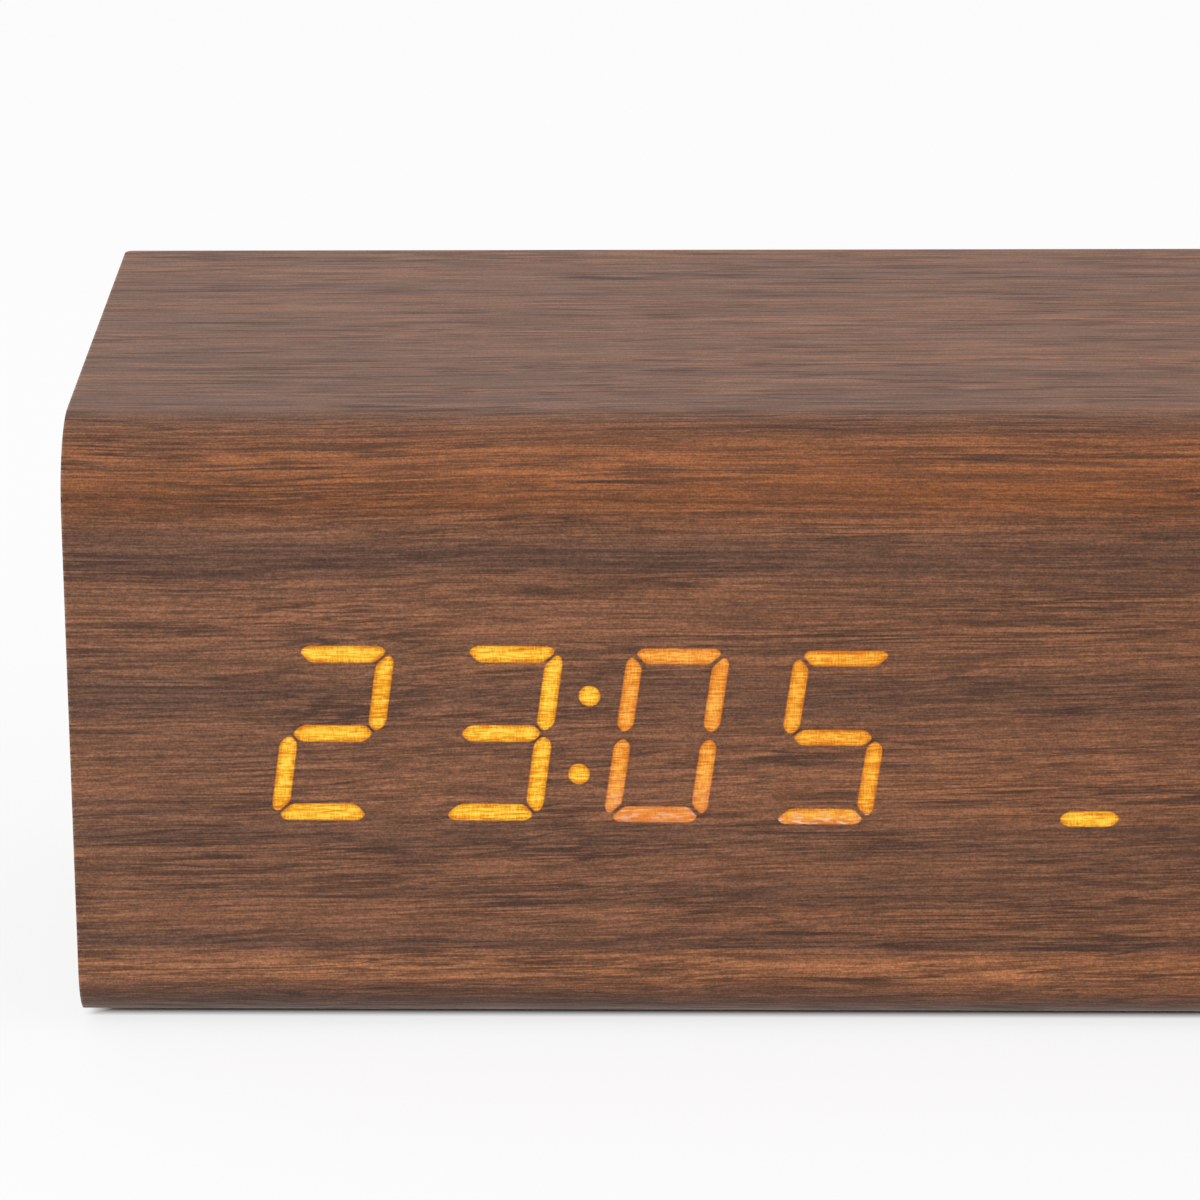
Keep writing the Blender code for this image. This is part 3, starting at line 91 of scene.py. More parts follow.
def pick(piece, kind, test):
    """In edit mode, select the faces or vertices whose middle and normal pass the test, or the
    edges whose middle and direction do."""
    if bpy.context.object.mode != "EDIT":
        focus(piece)
        bpy.ops.object.mode_set(mode="EDIT")
    bpy.ops.mesh.select_mode(type=kind)
    bpy.ops.mesh.select_all(action="DESELECT")
    mesh = bmesh.from_edit_mesh(piece.data)
    if kind == "VERT":
        for vert in mesh.verts:
            vert.select_set(test(vert.co, vert.normal))
    elif kind == "EDGE":
        for edge in mesh.edges:
            first, second = (vert.co for vert in edge.verts)
            edge.select_set(test((first + second) / 2, (second - first).normalized()))
    else:
        for face in mesh.faces:
            face.select_set(test(face.calc_center_median(), face.normal))
    mesh.select_flush_mode()
    bmesh.update_edit_mesh(piece.data)


def bevel(offset, segments, affect="EDGES"):
    """Round what is selected."""
    bpy.ops.mesh.bevel(offset=offset, segments=segments, affect=affect)


def done(piece, angle=35):
    """Leave edit mode and shade smooth up to an angle."""
    focus(piece)
    bpy.ops.object.shade_smooth_by_angle(angle=math.radians(angle))
    return piece


def modify(piece, kind, **settings):
    """Add a modifier and apply it."""
    focus(piece)
    modifier = piece.modifiers.new(kind.title(), kind)
    for setting, value in settings.items():
        setattr(modifier, setting, value)
    bpy.ops.object.modifier_apply(modifier=modifier.name)


def carve(piece, *cutters):
    """Cut the cutters out of a piece and remove them."""
    for cutter in cutters:
        modify(piece, "BOOLEAN", operation="DIFFERENCE", solver="EXACT", object=cutter)
        bpy.data.objects.remove(cutter)


def front_edge(low, z):
    """A test for the long edge where the front meets the top or the bottom."""
    return lambda c, n: abs(c.y - low.y) < MM and abs(c.z - z) < MM and abs(n.x) > 0.9


def wrap(name, inset):
    """The folded sheet: a cuboid with its front edges rounded and its rear and ends open."""
    low = CASING_LOW + Vector((HAIR, inset, inset))
    high = CASING_HIGH - Vector((HAIR, 0, inset))
    sheet = cuboid(name, low, high)
    for z, radius, steps in ((high.z, UPPER_ROUND, UPPER_STEPS), (low.z, LOWER_ROUND, LOWER_STEPS)):
        pick(sheet, "EDGE", front_edge(low, z))
        bevel(radius - inset, steps)
    pick(sheet, "FACE", lambda c, n: abs(n.x) > 0.9 or n.y > 0.9)
    bpy.ops.mesh.delete(type="FACE")
    pick(sheet, "VERT", lambda c, n: abs(c.x) > high.x - MM and c.y > high.y - MM)
    bevel(CORNER_WEAR, 4, "VERTICES")
    bpy.ops.object.mode_set(mode="OBJECT")
    return sheet


def inner_end(side):
    """A test for the board's inner vertices at one end, where it is cut to a mitre."""

    def test(c, n):
        inside = min(c.y - CASING_LOW.y, CASING_HIGH.z - c.z, c.z - CASING_LOW.z)
        return c.x * side > 0 and inside > 0.7 * WALL

    return test


veneer = wrap("casing_veneer", SHY)
modify(veneer, "SOLIDIFY", thickness=VENEER, offset=-1, use_even_offset=True)
done(veneer)

core = wrap("casing_board", VENEER + SHY)
modify(core, "SOLIDIFY", thickness=WALL - VENEER - SHY, offset=-1, use_even_offset=True)
for side in (-1, 1):
    pick(core, "VERT", inner_end(side))
    bpy.ops.transform.translate(value=(-side * (WALL - VENEER), 0, 0))
bpy.ops.object.mode_set(mode="OBJECT")
film_low, film_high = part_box("diffuser_film")
display_pocket = cuboid(
    "display_pocket",
    (film_low.x - POCKET_FIT, CASING_LOW.y, film_low.z - POCKET_FIT),
    (film_high.x + POCKET_FIT, CASING_LOW.y + 2 * WALL, film_high.z + POCKET_FIT),
)
shield_low, shield_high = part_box("ferrite_shield")
coil_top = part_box("charging_coil")[1].z
coil_pocket = add(
    bpy.ops.mesh.primitive_cylinder_add,
    "coil_pocket",
    vertices=96,
    radius=shield_high.x + POCKET_FIT,
    depth=2 * (coil_top + POCKET_FIT - shield_low.z),
    location=(0, 0, shield_low.z),
)
carve(core, display_pocket, coil_pocket)
done(core)


class Nodes:
    """Places nodes in one tree and links what they are given."""

    def __init__(self, tree):
        self.tree = tree

    def add(self, kind, inputs=None, **settings):
        node = self.tree.nodes.new("ShaderNode" + kind)
        for setting, value in settings.items():
            setattr(node, setting, value)
        for socket, value in (inputs or {}).items():
            self.feed(node.inputs[socket], value)
        return node

    def feed(self, socket, value):
        """Link a socket to another one, or set it to a value."""
        if isinstance(value, bpy.types.NodeSocket):
            self.tree.links.new(value, socket)
        else:
            socket.default_value = value

    def ends(self):
        """A group's own inputs and outputs."""
        nodes = self.tree.nodes
        return nodes.new("NodeGroupInput").outputs, nodes.new("NodeGroupOutput").inputs

    def operate(self, kind, operation, values):
        node = self.add(kind, operation=operation)
        for socket, value in zip(node.inputs, values):
            self.feed(socket, value)
        return node.outputs[0]

    def math(self, operation, *values):
        return self.operate("Math", operation, values)

    def plus(self, first, second):
        return self.math("ADD", first, second)

    def minus(self, first, second):
        return self.math("SUBTRACT", first, second)

    def times(self, first, second):
        return self.math("MULTIPLY", first, second)

    def off(self, value, middle):
        """How far a value is from a middle, either way."""
        return self.math("ABSOLUTE", self.minus(value, middle))

    def stretch(self, place, scales):
        return self.operate("VectorMath", "MULTIPLY", (place, scales))

    def millimetres(self, place=None):
        """A place in millimetres: the given one, or that on the piece."""
        if place is None:
            place = self.add("TexCoord").outputs["Object"]
        return self.stretch(place, (1000, 1000, 1000))

    def parts(self, vector):
        """A vector's X, Y and Z."""
        return self.add("SeparateXYZ", {"Vector": vector}).outputs

    def ramp(self, value, low, high, to_low=0.0, to_high=1.0):
        """Spread a value from one range to another, held at its ends."""
        ends = {"From Min": low, "From Max": high, "To Min": to_low, "To Max": to_high}
        return self.add("MapRange", {"Value": value, **ends}, clamp=True).outputs["Result"]

    def noise(self, place, scale, detail=2.0, roughness=0.5, stretch=(1, 1, 1)):
        """Noise on a place, finer along an axis with a greater stretch."""
        inputs = {"Scale": scale, "Detail": detail, "Roughness": roughness}
        inputs["Vector"] = self.stretch(place, stretch)
        return self.add("TexNoise", inputs).outputs["Fac"]

    def mix(self, factor, first, second, blend="MIX"):
        node = self.add("Mix", data_type="RGBA", blend_type=blend)
        self.feed(node.inputs[0], factor)
        self.feed(node.inputs[6], first)
        self.feed(node.inputs[7], second)
        return node.outputs[2]

    def tint(self, colour, shade):
        """A colour multiplied by a shade or by a number."""
        return self.mix(1.0, colour, shade, "MULTIPLY")

    def shades(self, value, stops):
        """Colours along a value, from stops of (position, colour)."""
        node = self.add("ValToRGB", {"Fac": value})
        made = node.color_ramp.elements
        made[0].position, made[0].color = stops[0]
        made[1].position, made[1].color = stops[-1]
        for position, colour in stops[1:-1]:
            made.new(position).color = colour
        return node.outputs["Color"]

    def bump(self, height, strength, distance):
        inputs = {"Strength": strength, "Distance": distance, "Height": height}
        return self.add("Bump", inputs).outputs[0]


def node_group(name, inputs, outputs):
    """An empty shader group with named sockets; inputs come with their first values."""
    group = bpy.data.node_groups.new(name, "ShaderNodeTree")
    for socket, (kind, value) in inputs.items():
        made = group.interface.new_socket(socket, in_out="INPUT", socket_type="NodeSocket" + kind)
        if value is not None:
            made.default_value = value
    for socket, kind in outputs.items():
        group.interface.new_socket(socket, in_out="OUTPUT", socket_type="NodeSocket" + kind)
    return group, Nodes(group)


def srgb(red, green, blue):
    """A colour as a screen shows it, 0 to 255, turned into the shader's linear values."""
    shares = [part / 255 for part in (red, green, blue)]
    linear = [part / 12.92 if part < 0.043 else ((part + 0.055) / 1.055) ** 2.4 for part in shares]
    return (*linear, 1.0)


def material(name):
    """A new material with its Principled shader, and the tree to build in."""
    made = bpy.data.materials.new(name)
    made.use_nodes = True
    return made, Nodes(made.node_tree), made.node_tree.nodes["Principled BSDF"]


# Growth bands along the casing: what each is, its height and half width in mm, and how much
# lighter it is. The last is no growth band but painted shade on the downward-facing bottom edge.
GROWTH_BANDS = (
    ("dark under the rounded edge", 56.0, 3.0, -0.14),
    ("dark streaks below it", 51.0, 2.6, -0.18),
    ("light above the digits", 44.5, 3.2, 0.12),
    ("dark through the upper bars", 36.5, 3.2, -0.16),
    ("light through the lower bars", 27.0, 2.4, 0.12),
    ("dark below the digits", 21.2, 2.4, -0.18),
    ("light near the bottom", 12.9, 1.8, 0.12),
    ("thin dark line", 10.0, 0.6, -0.24),
    ("light at the bottom edge", 7.4, 2.2, 0.34),
    # Painted shade: darkens the bottom rounded edge, which faces down.
    ("painted shade on the bottom edge", 3.0, 1.8, -0.22),
)
# Painted light and reflection on the upper rounded edge: its height and half width in mm, and its
# tint.
PAINTED_LIGHT_HEIGHT = 58.6
PAINTED_LIGHT_REACH = 5.0
PAINTED_LIGHT_TINT = (1.24, 0.98, 0.6, 1)
RIGHT_TINT = (0.99, 0.91, 0.79, 1)
WALNUT_SHADES = (
    (0.0, srgb(80, 56, 44)),
    (0.25, srgb(100, 69, 54)),
    (0.5, srgb(122, 82, 60)),
    (0.75, srgb(141, 93, 65)),
    (1.0, srgb(162, 107, 72)),
)
PORE_SHADE = srgb(58, 39, 31)
# Open pores, coarse to fine: the noise's scale and stretch, the lines' width and strength.
PORE_LINES = ((0.7, 0.03, 0.022, 0.7), (1.5, 0.02, 0.055, 0.95), (3.0, 0.014, 0.1, 0.8))


def walnut_grain():
    """Walnut veneer with its grain along X: growth bands, combed dark lines, pores and fibre, and
    painted shade on the bottom edge and painted light on the upper rounded edge.
    """
    group, n = node_group(
        "walnut grain",
        {"Place": ("Vector", None), "Rise": ("Float", 0.018)},
        {"Color": "Color", "Roughness": "Float", "Height": "Float", "Pores": "Float"},
    )
    given, out = n.ends()
    place = n.millimetres(given["Place"])
    parts = n.parts(place)

    # The grain climbs to the right, more so low down, and sways.
    climb = n.times(n.times(parts["X"], given["Rise"]), n.ramp(parts["Z"], 48, 34, 0.3, 1.9))
    sway = n.times(n.minus(n.noise(place, 0.014, 1, 0.5, (1, 1.5, 1.5)), 0.5), 2.4)
    ripple = n.times(n.minus(n.noise(place, 0.07, 1, 0.5, (1, 3, 3)), 0.5), 0.35)
    across = n.plus(parts["Z"], n.times(sway, 0.5))
    shift = n.plus(n.minus(sway, climb), ripple)
    moved = {"X": parts["X"], "Y": n.plus(parts["Y"], shift), "Z": n.plus(parts["Z"], shift)}
    flow = n.add("CombineXYZ", moved).outputs[0]

    # The main tone, with the growth bands and thin streaks.
    tone = n.ramp(n.noise(flow, 0.2, 2, 0.55, (0.045, 1, 1)), 0.3, 0.7, 0.4, 0.66)
    for _, height, reach, change in GROWTH_BANDS:
        near = n.minus(1.0, n.math("DIVIDE", n.off(across, height), reach))
        band = n.math("SMOOTH_MIN", n.math("MAXIMUM", near, 0.0), 0.5, 0.3)
        tone = n.plus(tone, n.times(band, 2 * change))
    streaks = n.ramp(n.noise(flow, 1.0, 2, 0.55, (0.02, 1, 1)), 0.34, 0.66, -0.09, 0.09)
    colour = n.shades(n.plus(tone, streaks), WALNUT_SHADES)
    base = n.mix(n.ramp(parts["X"], -70, 40), colour, n.tint(colour, RIGHT_TINT))
    # Painted light: the upper rounded edge is tinted warmer and more saturated, as where strong
    # light falls and something dark is reflected.
    near = n.ramp(n.off(across, PAINTED_LIGHT_HEIGHT), PAINTED_LIGHT_REACH, 0.4 * PAINTED_LIGHT_REACH)
    painted_light = n.mix(near, base, n.tint(base, PAINTED_LIGHT_TINT))
    combed = n.noise(flow, 3.4, 2, 0.6, (0.014, 1, 1))
    veins = n.tint(painted_light, n.ramp(combed, 0.38, 0.6, 0.76, 1.2))

    # Pores follow the lines where a noise crosses its middle, broken along their length.
    lines = []
    for scale, stretch, reach, strength in PORE_LINES:
        middle = n.off(n.noise(flow, scale, 1, 0.4, (stretch, 1, 1)), 0.5)
        broken = n.ramp(n.noise(flow, 0.9 * scale, 1, 0.5, (0.06, 0.6, 0.6)), 0.36, 0.54)
        lines.append(n.times(n.times(n.ramp(middle, reach, 0.3 * reach), broken), strength))
    coarse, medium, fine = lines
    deepest = n.math("MAXIMUM", n.math("MAXIMUM", coarse, medium), fine)
    cluster = n.ramp(n.noise(flow, 0.35, 1, 0.5, (0.12, 1, 1)), 0.36, 0.64, 0.5, 0.85)
    pores = n.times(deepest, cluster)

    fibre = n.noise(flow, 6.0, 2, 0.7, (0.16, 1, 1))
    speck = n.noise(place, 4.6, 1, 0.5)
    grained = n.tint(n.mix(pores, veins, PORE_SHADE), n.ramp(fibre, 0.36, 0.64, 0.8, 1.24))
    n.feed(out["Color"], n.tint(grained, n.ramp(speck, 0.34, 0.66, 0.8, 1.24)))
    n.feed(out["Roughness"], n.plus(n.ramp(fibre, 0.3, 0.7, 0.4, 0.5), n.times(pores, 0.2)))
    n.feed(out["Height"], n.minus(n.times(fibre, 0.4), pores))
    n.feed(out["Pores"], pores)
    return group


WALNUT = walnut_grain()
END_HIGHLIGHT_SHADE = srgb(168, 132, 104)
# A painted highlight along each cut end of the casing: where it begins and where it is full, in mm
# from the end.
END_HIGHLIGHT_FROM = 0.3
END_HIGHLIGHT_TO = 0.04


def veneered(name, turn=0.0, lift=0.0, highlighted=0.0):
    """Satin walnut veneer, its grain turned about Z, with a painted highlight along its cut ends.
    """
    made, n, shader = material(name)
    place = n.add("TexCoord").outputs["Object"]
    turned = {"Vector": place, "Rotation": (0, 0, turn), "Location": (0, 0, lift)}
    turned = n.add("Mapping", turned).outputs[0]
    grain = n.add("Group", {"Place": turned}, node_tree=WALNUT).outputs
    end = CASING_HIGH.x / MM
    along = n.math("ABSOLUTE", n.parts(n.millimetres(place))["X"])
    # Painted highlight: the rim at each cut end is mixed towards a pale shade, broken up by the
    # grain.
    painted_highlight = n.ramp(along, end - END_HIGHLIGHT_FROM, end - END_HIGHLIGHT_TO, 0, highlighted)
    end_highlight = n.times(painted_highlight, n.ramp(grain["Height"], -0.2, 0.3))
    n.feed(shader.inputs["Base Color"], n.mix(end_highlight, grain["Color"], END_HIGHLIGHT_SHADE))
    n.feed(shader.inputs["Roughness"], grain["Roughness"])
    shader.inputs["Specular IOR Level"].default_value = 0.25
    n.feed(shader.inputs["Normal"], n.bump(grain["Height"], 0.35, 0.05 * MM))
    return made, n, shader, grain


def fibreboard():
    """Cut fibreboard, stained dark: pressed fibres with no grain."""
    made, n, shader = material("stained_fibreboard")
    place = n.millimetres()
    felt = n.noise(place, 2.2, 4, 0.7)
    wisps = n.noise(place, 0.9, 3, 0.6, (0.4, 1, 2.5))
    colour = n.mix(n.ramp(felt, 0.35, 0.65), srgb(66, 45, 33), srgb(92, 66, 48))
    colour = n.mix(n.ramp(wisps, 0.5, 0.75, 0, 0.4), colour, srgb(112, 84, 62))
    n.feed(shader.inputs["Base Color"], colour)
    n.feed(shader.inputs["Roughness"], n.ramp(felt, 0.3, 0.7, 0.72, 0.9))
    n.feed(shader.inputs["Normal"], n.bump(felt, 0.5, 0.1 * MM))
    return made


# The casing's veneer, with a painted highlight along its cut ends.
veneer.data.materials.append(veneered("casing_walnut", highlighted=0.7)[0])
core.data.materials.append(fibreboard())
for piece in (veneer, core):
    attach(piece, "clock")
    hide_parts("wood_casing")

# End panels. Each is a veneered board, mitred all round, that sits inside the veneer's lip with a
# hair-line joint. Its veneer runs from front to rear.
LIP_GAP = 0.15 * MM
END_EDGE = 0.4 * MM
END_RIM = 0.12 * MM
END_GRAIN_LIFT = 7 * MM


def make_end_panel(name, side):
    inset = VENEER + SHY + LIP_GAP
    low = CASING_LOW + Vector((0, inset, inset))
    high = CASING_HIGH - Vector((0, SHY, inset))
    outer = side * (CASING_HIGH.x - SHY)
    near, far = sorted((outer, outer - side * END_EDGE))
    panel = cuboid(name, (near, low.y, low.z), (far, high.y, high.z))
    for z, radius in ((high.z, UPPER_ROUND), (low.z, LOWER_ROUND)):
        pick(panel, "EDGE", front_edge(low, z))
        bevel(radius - inset, LOWER_STEPS)
    pick(panel, "FACE", lambda c, n: n.x * side < -0.9)
    slope = WALL - inset
    bpy.ops.mesh.inset(thickness=slope, depth=slope - END_EDGE, use_even_offset=True)
    pick(panel, "FACE", lambda c, n: n.x * side > 0.9)
    bpy.ops.mesh.inset(thickness=END_RIM, depth=0)
    bpy.ops.transform.translate(value=(side * (SHY - HAIR), 0, 0))
    bpy.ops.mesh.select_all(action="SELECT")
    bpy.ops.mesh.normals_make_consistent(inside=False)
    return done(panel)


for name, side in (("left_end", -1), ("right_end", 1)):
    panel = make_end_panel(name, side)
    finish = veneered(name + "_walnut", turn=-math.pi / 2, lift=side * END_GRAIN_LIFT)[0]
    panel.data.materials.append(finish)
    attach(panel, "clock")
    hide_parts(f"{name}_panel")

# Lit display. Lamps behind the veneer shine through it in the shape of slanted, mitred bars. The
# veneer's grain stays visible in the light as darker lines and a fine cross weave.
# Its sizes are in millimetres; settle() brings the finished bars into the frame's metres.
STROKE = 1.7
GLOW_RIM = 0.2
GLOW_ROUND = 0.5
GLOW_CELL = 0.16
DIGIT_SPAN = 8.7
DIGIT_RISE = 8.4
BAR_GAP = 0.55
FIRST_DIGIT_X = -55.8
DIGIT_PITCH = 16.85
DISPLAY_Z = 32.2
LEAN = math.tan(math.radians(8))
TILT = math.radians(0.3)
LIGHT_THICKNESS = 0.8 * SHY


def mark_inward(piece, measure):
    """Keep on each vertex how far inside the lit outline it lies."""
    depth = piece.data.attributes.new("inward", "FLOAT", "POINT")
    for vert, value in zip(piece.data.vertices, depth.data):
        value.value = measure(vert.co)


def glow_grid(name, wide, tall, columns, rows):
    """A fine upright grid round the origin, for light that changes from place to place."""
    return add(
        bpy.ops.mesh.primitive_grid_add,
        name,
        x_subdivisions=columns,
        y_subdivisions=rows,
        size=1,
        rotation=(math.pi / 2, 0, 0),
        scale=(wide, tall, 1),
    )


def cut_off(piece, place, outward):
    """Cut off what lies past a line, given by a point (x, z) on it and its outward direction."""
    (x, z), (out_x, out_z) = place, outward
    pick(piece, "FACE", lambda c, n: True)
    bpy.ops.mesh.bisect(plane_co=(x, 0, z), plane_no=(out_x, 0, out_z), clear_outer=True)


def lit_bar(name, middle, size, legs):
    """One lit bar: a fine grid with its corners cut off to mitres. legs are the cuts at the
    upper right, upper left, lower left and lower right corner."""
    reach = GLOW_RIM * math.sqrt(2)
    lies = size[0] > size[1]
    wide = size[0] + 2 * (reach if lies else GLOW_RIM)
    tall = size[1] + 2 * (GLOW_RIM if lies else reach)
    bar = glow_grid(name, wide, tall, round(wide / GLOW_CELL), round(tall / GLOW_CELL))
    sides = [((1, 0), wide / 2), ((-1, 0), wide / 2), ((0, 1), tall / 2), ((0, -1), tall / 2)]
    for (x, z), leg in zip(((1, 1), (-1, 1), (-1, -1), (1, -1)), legs):
        cut_off(bar, (x * (wide / 2 - leg - GLOW_RIM), z * tall / 2), (x, z))
        sides.append(((x, z), ((wide + tall) / 2 - leg - GLOW_RIM) / math.sqrt(2)))
    bpy.ops.object.mode_set(mode="OBJECT")

    def inside(place):
        room = [reach - Vector(out).normalized().dot(place.xz) for out, reach in sides]
        rounded = GLOW_ROUND - math.hypot(*[max(GLOW_ROUND - gap, 0) for gap in room])
        return rounded + max(min(room) - GLOW_ROUND, 0)

    mark_inward(bar, inside)
    bar.data.transform(Matrix.Translation((middle[0], 0, middle[1])))
    return bar


# Cuts at the bars' corners: at a digit's outer and inner corners, and at its middle.
TIP = 0.3 * STROKE
HEEL = 0.63 * STROKE
HALF = 0.45 * STROKE
BLUNT = 0.38 * STROKE
PULL = BAR_GAP / math.sqrt(2)
CORNER_OUT = 0.2 * STROKE
MIDDLE_BAR = (DIGIT_SPAN - 2 * PULL, STROKE)
LYING_BAR = (DIGIT_SPAN - 2 * PULL + 2 * CORNER_OUT, STROKE)
UPPER_END = DIGIT_RISE - PULL + CORNER_OUT
STANDING_BAR = (STROKE, UPPER_END - PULL)
SIDE_X = DIGIT_SPAN / 2
SIDE_Z = (UPPER_END + PULL) / 2
BARS = {
    "a": ((0, DIGIT_RISE), LYING_BAR, (TIP, TIP, HEEL, HEEL)),
    "b": ((SIDE_X, SIDE_Z), STANDING_BAR, (TIP, HEEL, BLUNT, BLUNT)),
    "c": ((SIDE_X, -SIDE_Z), STANDING_BAR, (BLUNT, BLUNT, HEEL, TIP)),
    "d": ((0, -DIGIT_RISE), LYING_BAR, (HEEL, HEEL, TIP, TIP)),
    "e": ((-SIDE_X, -SIDE_Z), STANDING_BAR, (BLUNT, BLUNT, TIP, HEEL)),
    "f": ((-SIDE_X, SIDE_Z), STANDING_BAR, (HEEL, TIP, BLUNT, BLUNT)),
    "g": ((0, 0), MIDDLE_BAR, (HALF, HALF, HALF, HALF)),
}


def join(name, parts):
    """Join parts into the first and give it the name."""
    focus(parts[0])
    for part in parts[1:]:
        part.select_set(True)
    bpy.ops.object.join()
    parts[0].name = parts[0].data.name = name
    return parts[0]


def settle(piece, x, z, lean):
    """Lean a group of lit bars, tilt the row, bring it to metres and lay it on the front face."""
    for step in (
        Matrix(((1, 0, lean, 0), (0, 1, 0, 0), (0, 0, 1, 0), (0, 0, 0, 1))),
        Matrix.Translation((x, 0, z - DISPLAY_Z)),
        Matrix.Rotation(TILT, 4, "Y"),
        Matrix.Translation((0, 0, DISPLAY_Z)),
        Matrix.Scale(MM, 4),
        Matrix.Translation((0, CASING_LOW.y, 0)),
    ):
        piece.data.transform(step)
    modify(piece, "SOLIDIFY", thickness=LIGHT_THICKNESS, offset=-1)


def lamp_light(name, shades, narrow, pale=0.0, pale_from=0.0, pale_to=0.0):
    """Walnut veneer with light behind it, in shades for its edge, body and core, and the grain in
    front. The light ends narrow inside the outline; pale streaks show below a height."""
    made, n, shader, grain = veneered(name)
    inward = n.add("Attribute", attribute_name="inward").outputs["Fac"]
    place = n.millimetres()
    ragged = n.noise(place, 3.2, 2, 0.6, (0.5, 1, 2.2))
    rim = n.minus(n.plus(inward, n.times(n.minus(ragged, 0.5), 0.16)), narrow)
    light = n.ramp(rim, 0.04, 0.2)
    light.node.interpolation_type = "SMOOTHSTEP"
    weave = n.noise(place, 6.0, 1, 0.5, (1, 1, 0.2))
    lines = n.noise(place, 7.0, 1, 0.5, (0.12, 1, 1))
    texture = n.plus(n.times(weave, 0.4), n.times(lines, 0.6))
    inner_light = n.times(n.ramp(rim, 0.16, 0.62), 0.42)
    level = n.plus(inner_light, n.ramp(texture, 0.4, 0.6, 0.0, 0.58))
    level = n.minus(level, n.times(grain["Pores"], 0.5))
    edge, body, core_shade = [srgb(*shade) for shade in shades]
    shade = n.shades(level, ((0.02, edge), (0.45, body), (0.92, core_shade)))
    if pale:
        streak = n.ramp(n.noise(place, 5.0, 1, 0.5, (0.22, 1, 1)), 0.5, 0.66, 0, pale)
        low = n.ramp(n.parts(place)["Z"], pale_from, pale_to)
        shade = n.mix(n.times(low, 0.45), shade, srgb(226, 124, 66))
        shade = n.mix(n.times(streak, low), shade, srgb(255, 226, 196))
    n.feed(shader.inputs["Emission Color"], n.mix(light, (0, 0, 0, 1), shade))
    shader.inputs["Emission Strength"].default_value = 1.0
    n.feed(shader.inputs["Base Color"], n.mix(light, grain["Color"], srgb(30, 14, 4)))
    n.feed(shader.inputs["Specular IOR Level"], n.ramp(light, 0.0, 1.0, 0.25, 0.06))
    return made


AMBER = lamp_light("yellow_light", ((216, 122, 24), (248, 176, 42), (255, 222, 84)), 0.05)
ORANGE_SHADES = ((206, 112, 32), (238, 146, 52), (255, 190, 84))
ORANGE = lamp_light("orange_light", ORANGE_SHADES, 0.11, pale=0.3, pale_from=28.5, pale_to=24.0)
MIDWAY_SHADES = ((208, 114, 26), (240, 152, 42), (255, 198, 74))
MIDWAY = lamp_light("midway_light", MIDWAY_SHADES, 0.11, pale=0.65, pale_from=24.3, pale_to=23.3)
# Each digit: its name, lit bars and light, how far it stands aside and up, and its lean.
TIME = (
    ("hours_tens", "abged", AMBER, 0.0, 0.02, 8.0),
    ("hours", "abgcd", AMBER, 0.14, 0.12, 8.2),
    ("minutes_tens", "abcdef", ORANGE, 0.0, 0.0, 8.7),
    ("minutes", "afgcd", MIDWAY, -0.14, -0.12, 9.0),
)
for number, (name, lit, light, aside, up, lean) in enumerate(TIME):
    bars = [lit_bar(f"{name}_{letter}", *BARS[letter]) for letter in lit]
    digit = join(f"lit_{name}", bars)
    x = FIRST_DIGIT_X + number * DIGIT_PITCH + aside
    settle(digit, x, DISPLAY_Z + up, math.tan(math.radians(lean)))
    digit.data.materials.append(light)
    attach(digit, "clock")

COLON_ASIDE = 0.1
COLON_X = FIRST_DIGIT_X + 1.5 * DIGIT_PITCH + COLON_ASIDE
COLON_RADIUS = 1.04
COLON_RISE = 4.15
GLOW_RADIUS = COLON_RADIUS + GLOW_RIM


def colon_dot(side):
    """A round dot, cut out of its grid by lines all round."""
    dot = glow_grid(f"dot_{side}", 2 * GLOW_RADIUS, 2 * GLOW_RADIUS, 16, 16)
    for turn in range(0, 360, 15):
        x, z = math.cos(math.radians(turn)), math.sin(math.radians(turn))
        cut_off(dot, (x * GLOW_RADIUS, z * GLOW_RADIUS), (x, z))
    bpy.ops.object.mode_set(mode="OBJECT")
    mark_inward(dot, lambda place: GLOW_RADIUS - place.length)
    dot.data.transform(Matrix.Translation((side * COLON_RISE * LEAN, 0, side * COLON_RISE)))
    return dot


colon = join("lit_colon", [colon_dot(side) for side in (-1, 1)])
settle(colon, COLON_X, DISPLAY_Z, 0)

CHARGE_SIZE = (6.0, 1.55)
CHARGE_LEG = 0.45 * CHARGE_SIZE[1]
CHARGE_ASIDE = 25.6
CHARGE_DROP = 8.6
CHARGE_X = FIRST_DIGIT_X + 3 * DIGIT_PITCH + CHARGE_ASIDE
CHARGE_Z = DISPLAY_Z - CHARGE_DROP
charge_bar = lit_bar("lit_charge_bar", (0, 0), CHARGE_SIZE, [CHARGE_LEG] * 4)
settle(charge_bar, CHARGE_X, CHARGE_Z, LEAN)
for piece in (colon, charge_bar):
    piece.data.materials.append(AMBER)
    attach(piece, "clock")

# Rear panel. It is moulded in black plastic with a fine spark texture, has a painted highlight on
# its rolled edges, which are a little smoother too, and is held by four sunk screws. Every opening
# has a rolled edge, and four bosses inside take the main board's screws.
FACE_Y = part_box("rear_panel")[1].y
PANEL_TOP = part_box("rear_panel")[1].z
PANEL_THICKNESS = 2.5 * MM
PANEL_BACK_Y = FACE_Y - PANEL_THICKNESS
PANEL_CORNER = 1.2 * MM
PANEL_ROLL = 0.4 * MM
MOUTH_ROLL = 0.3 * MM
FIT = 0.3 * MM
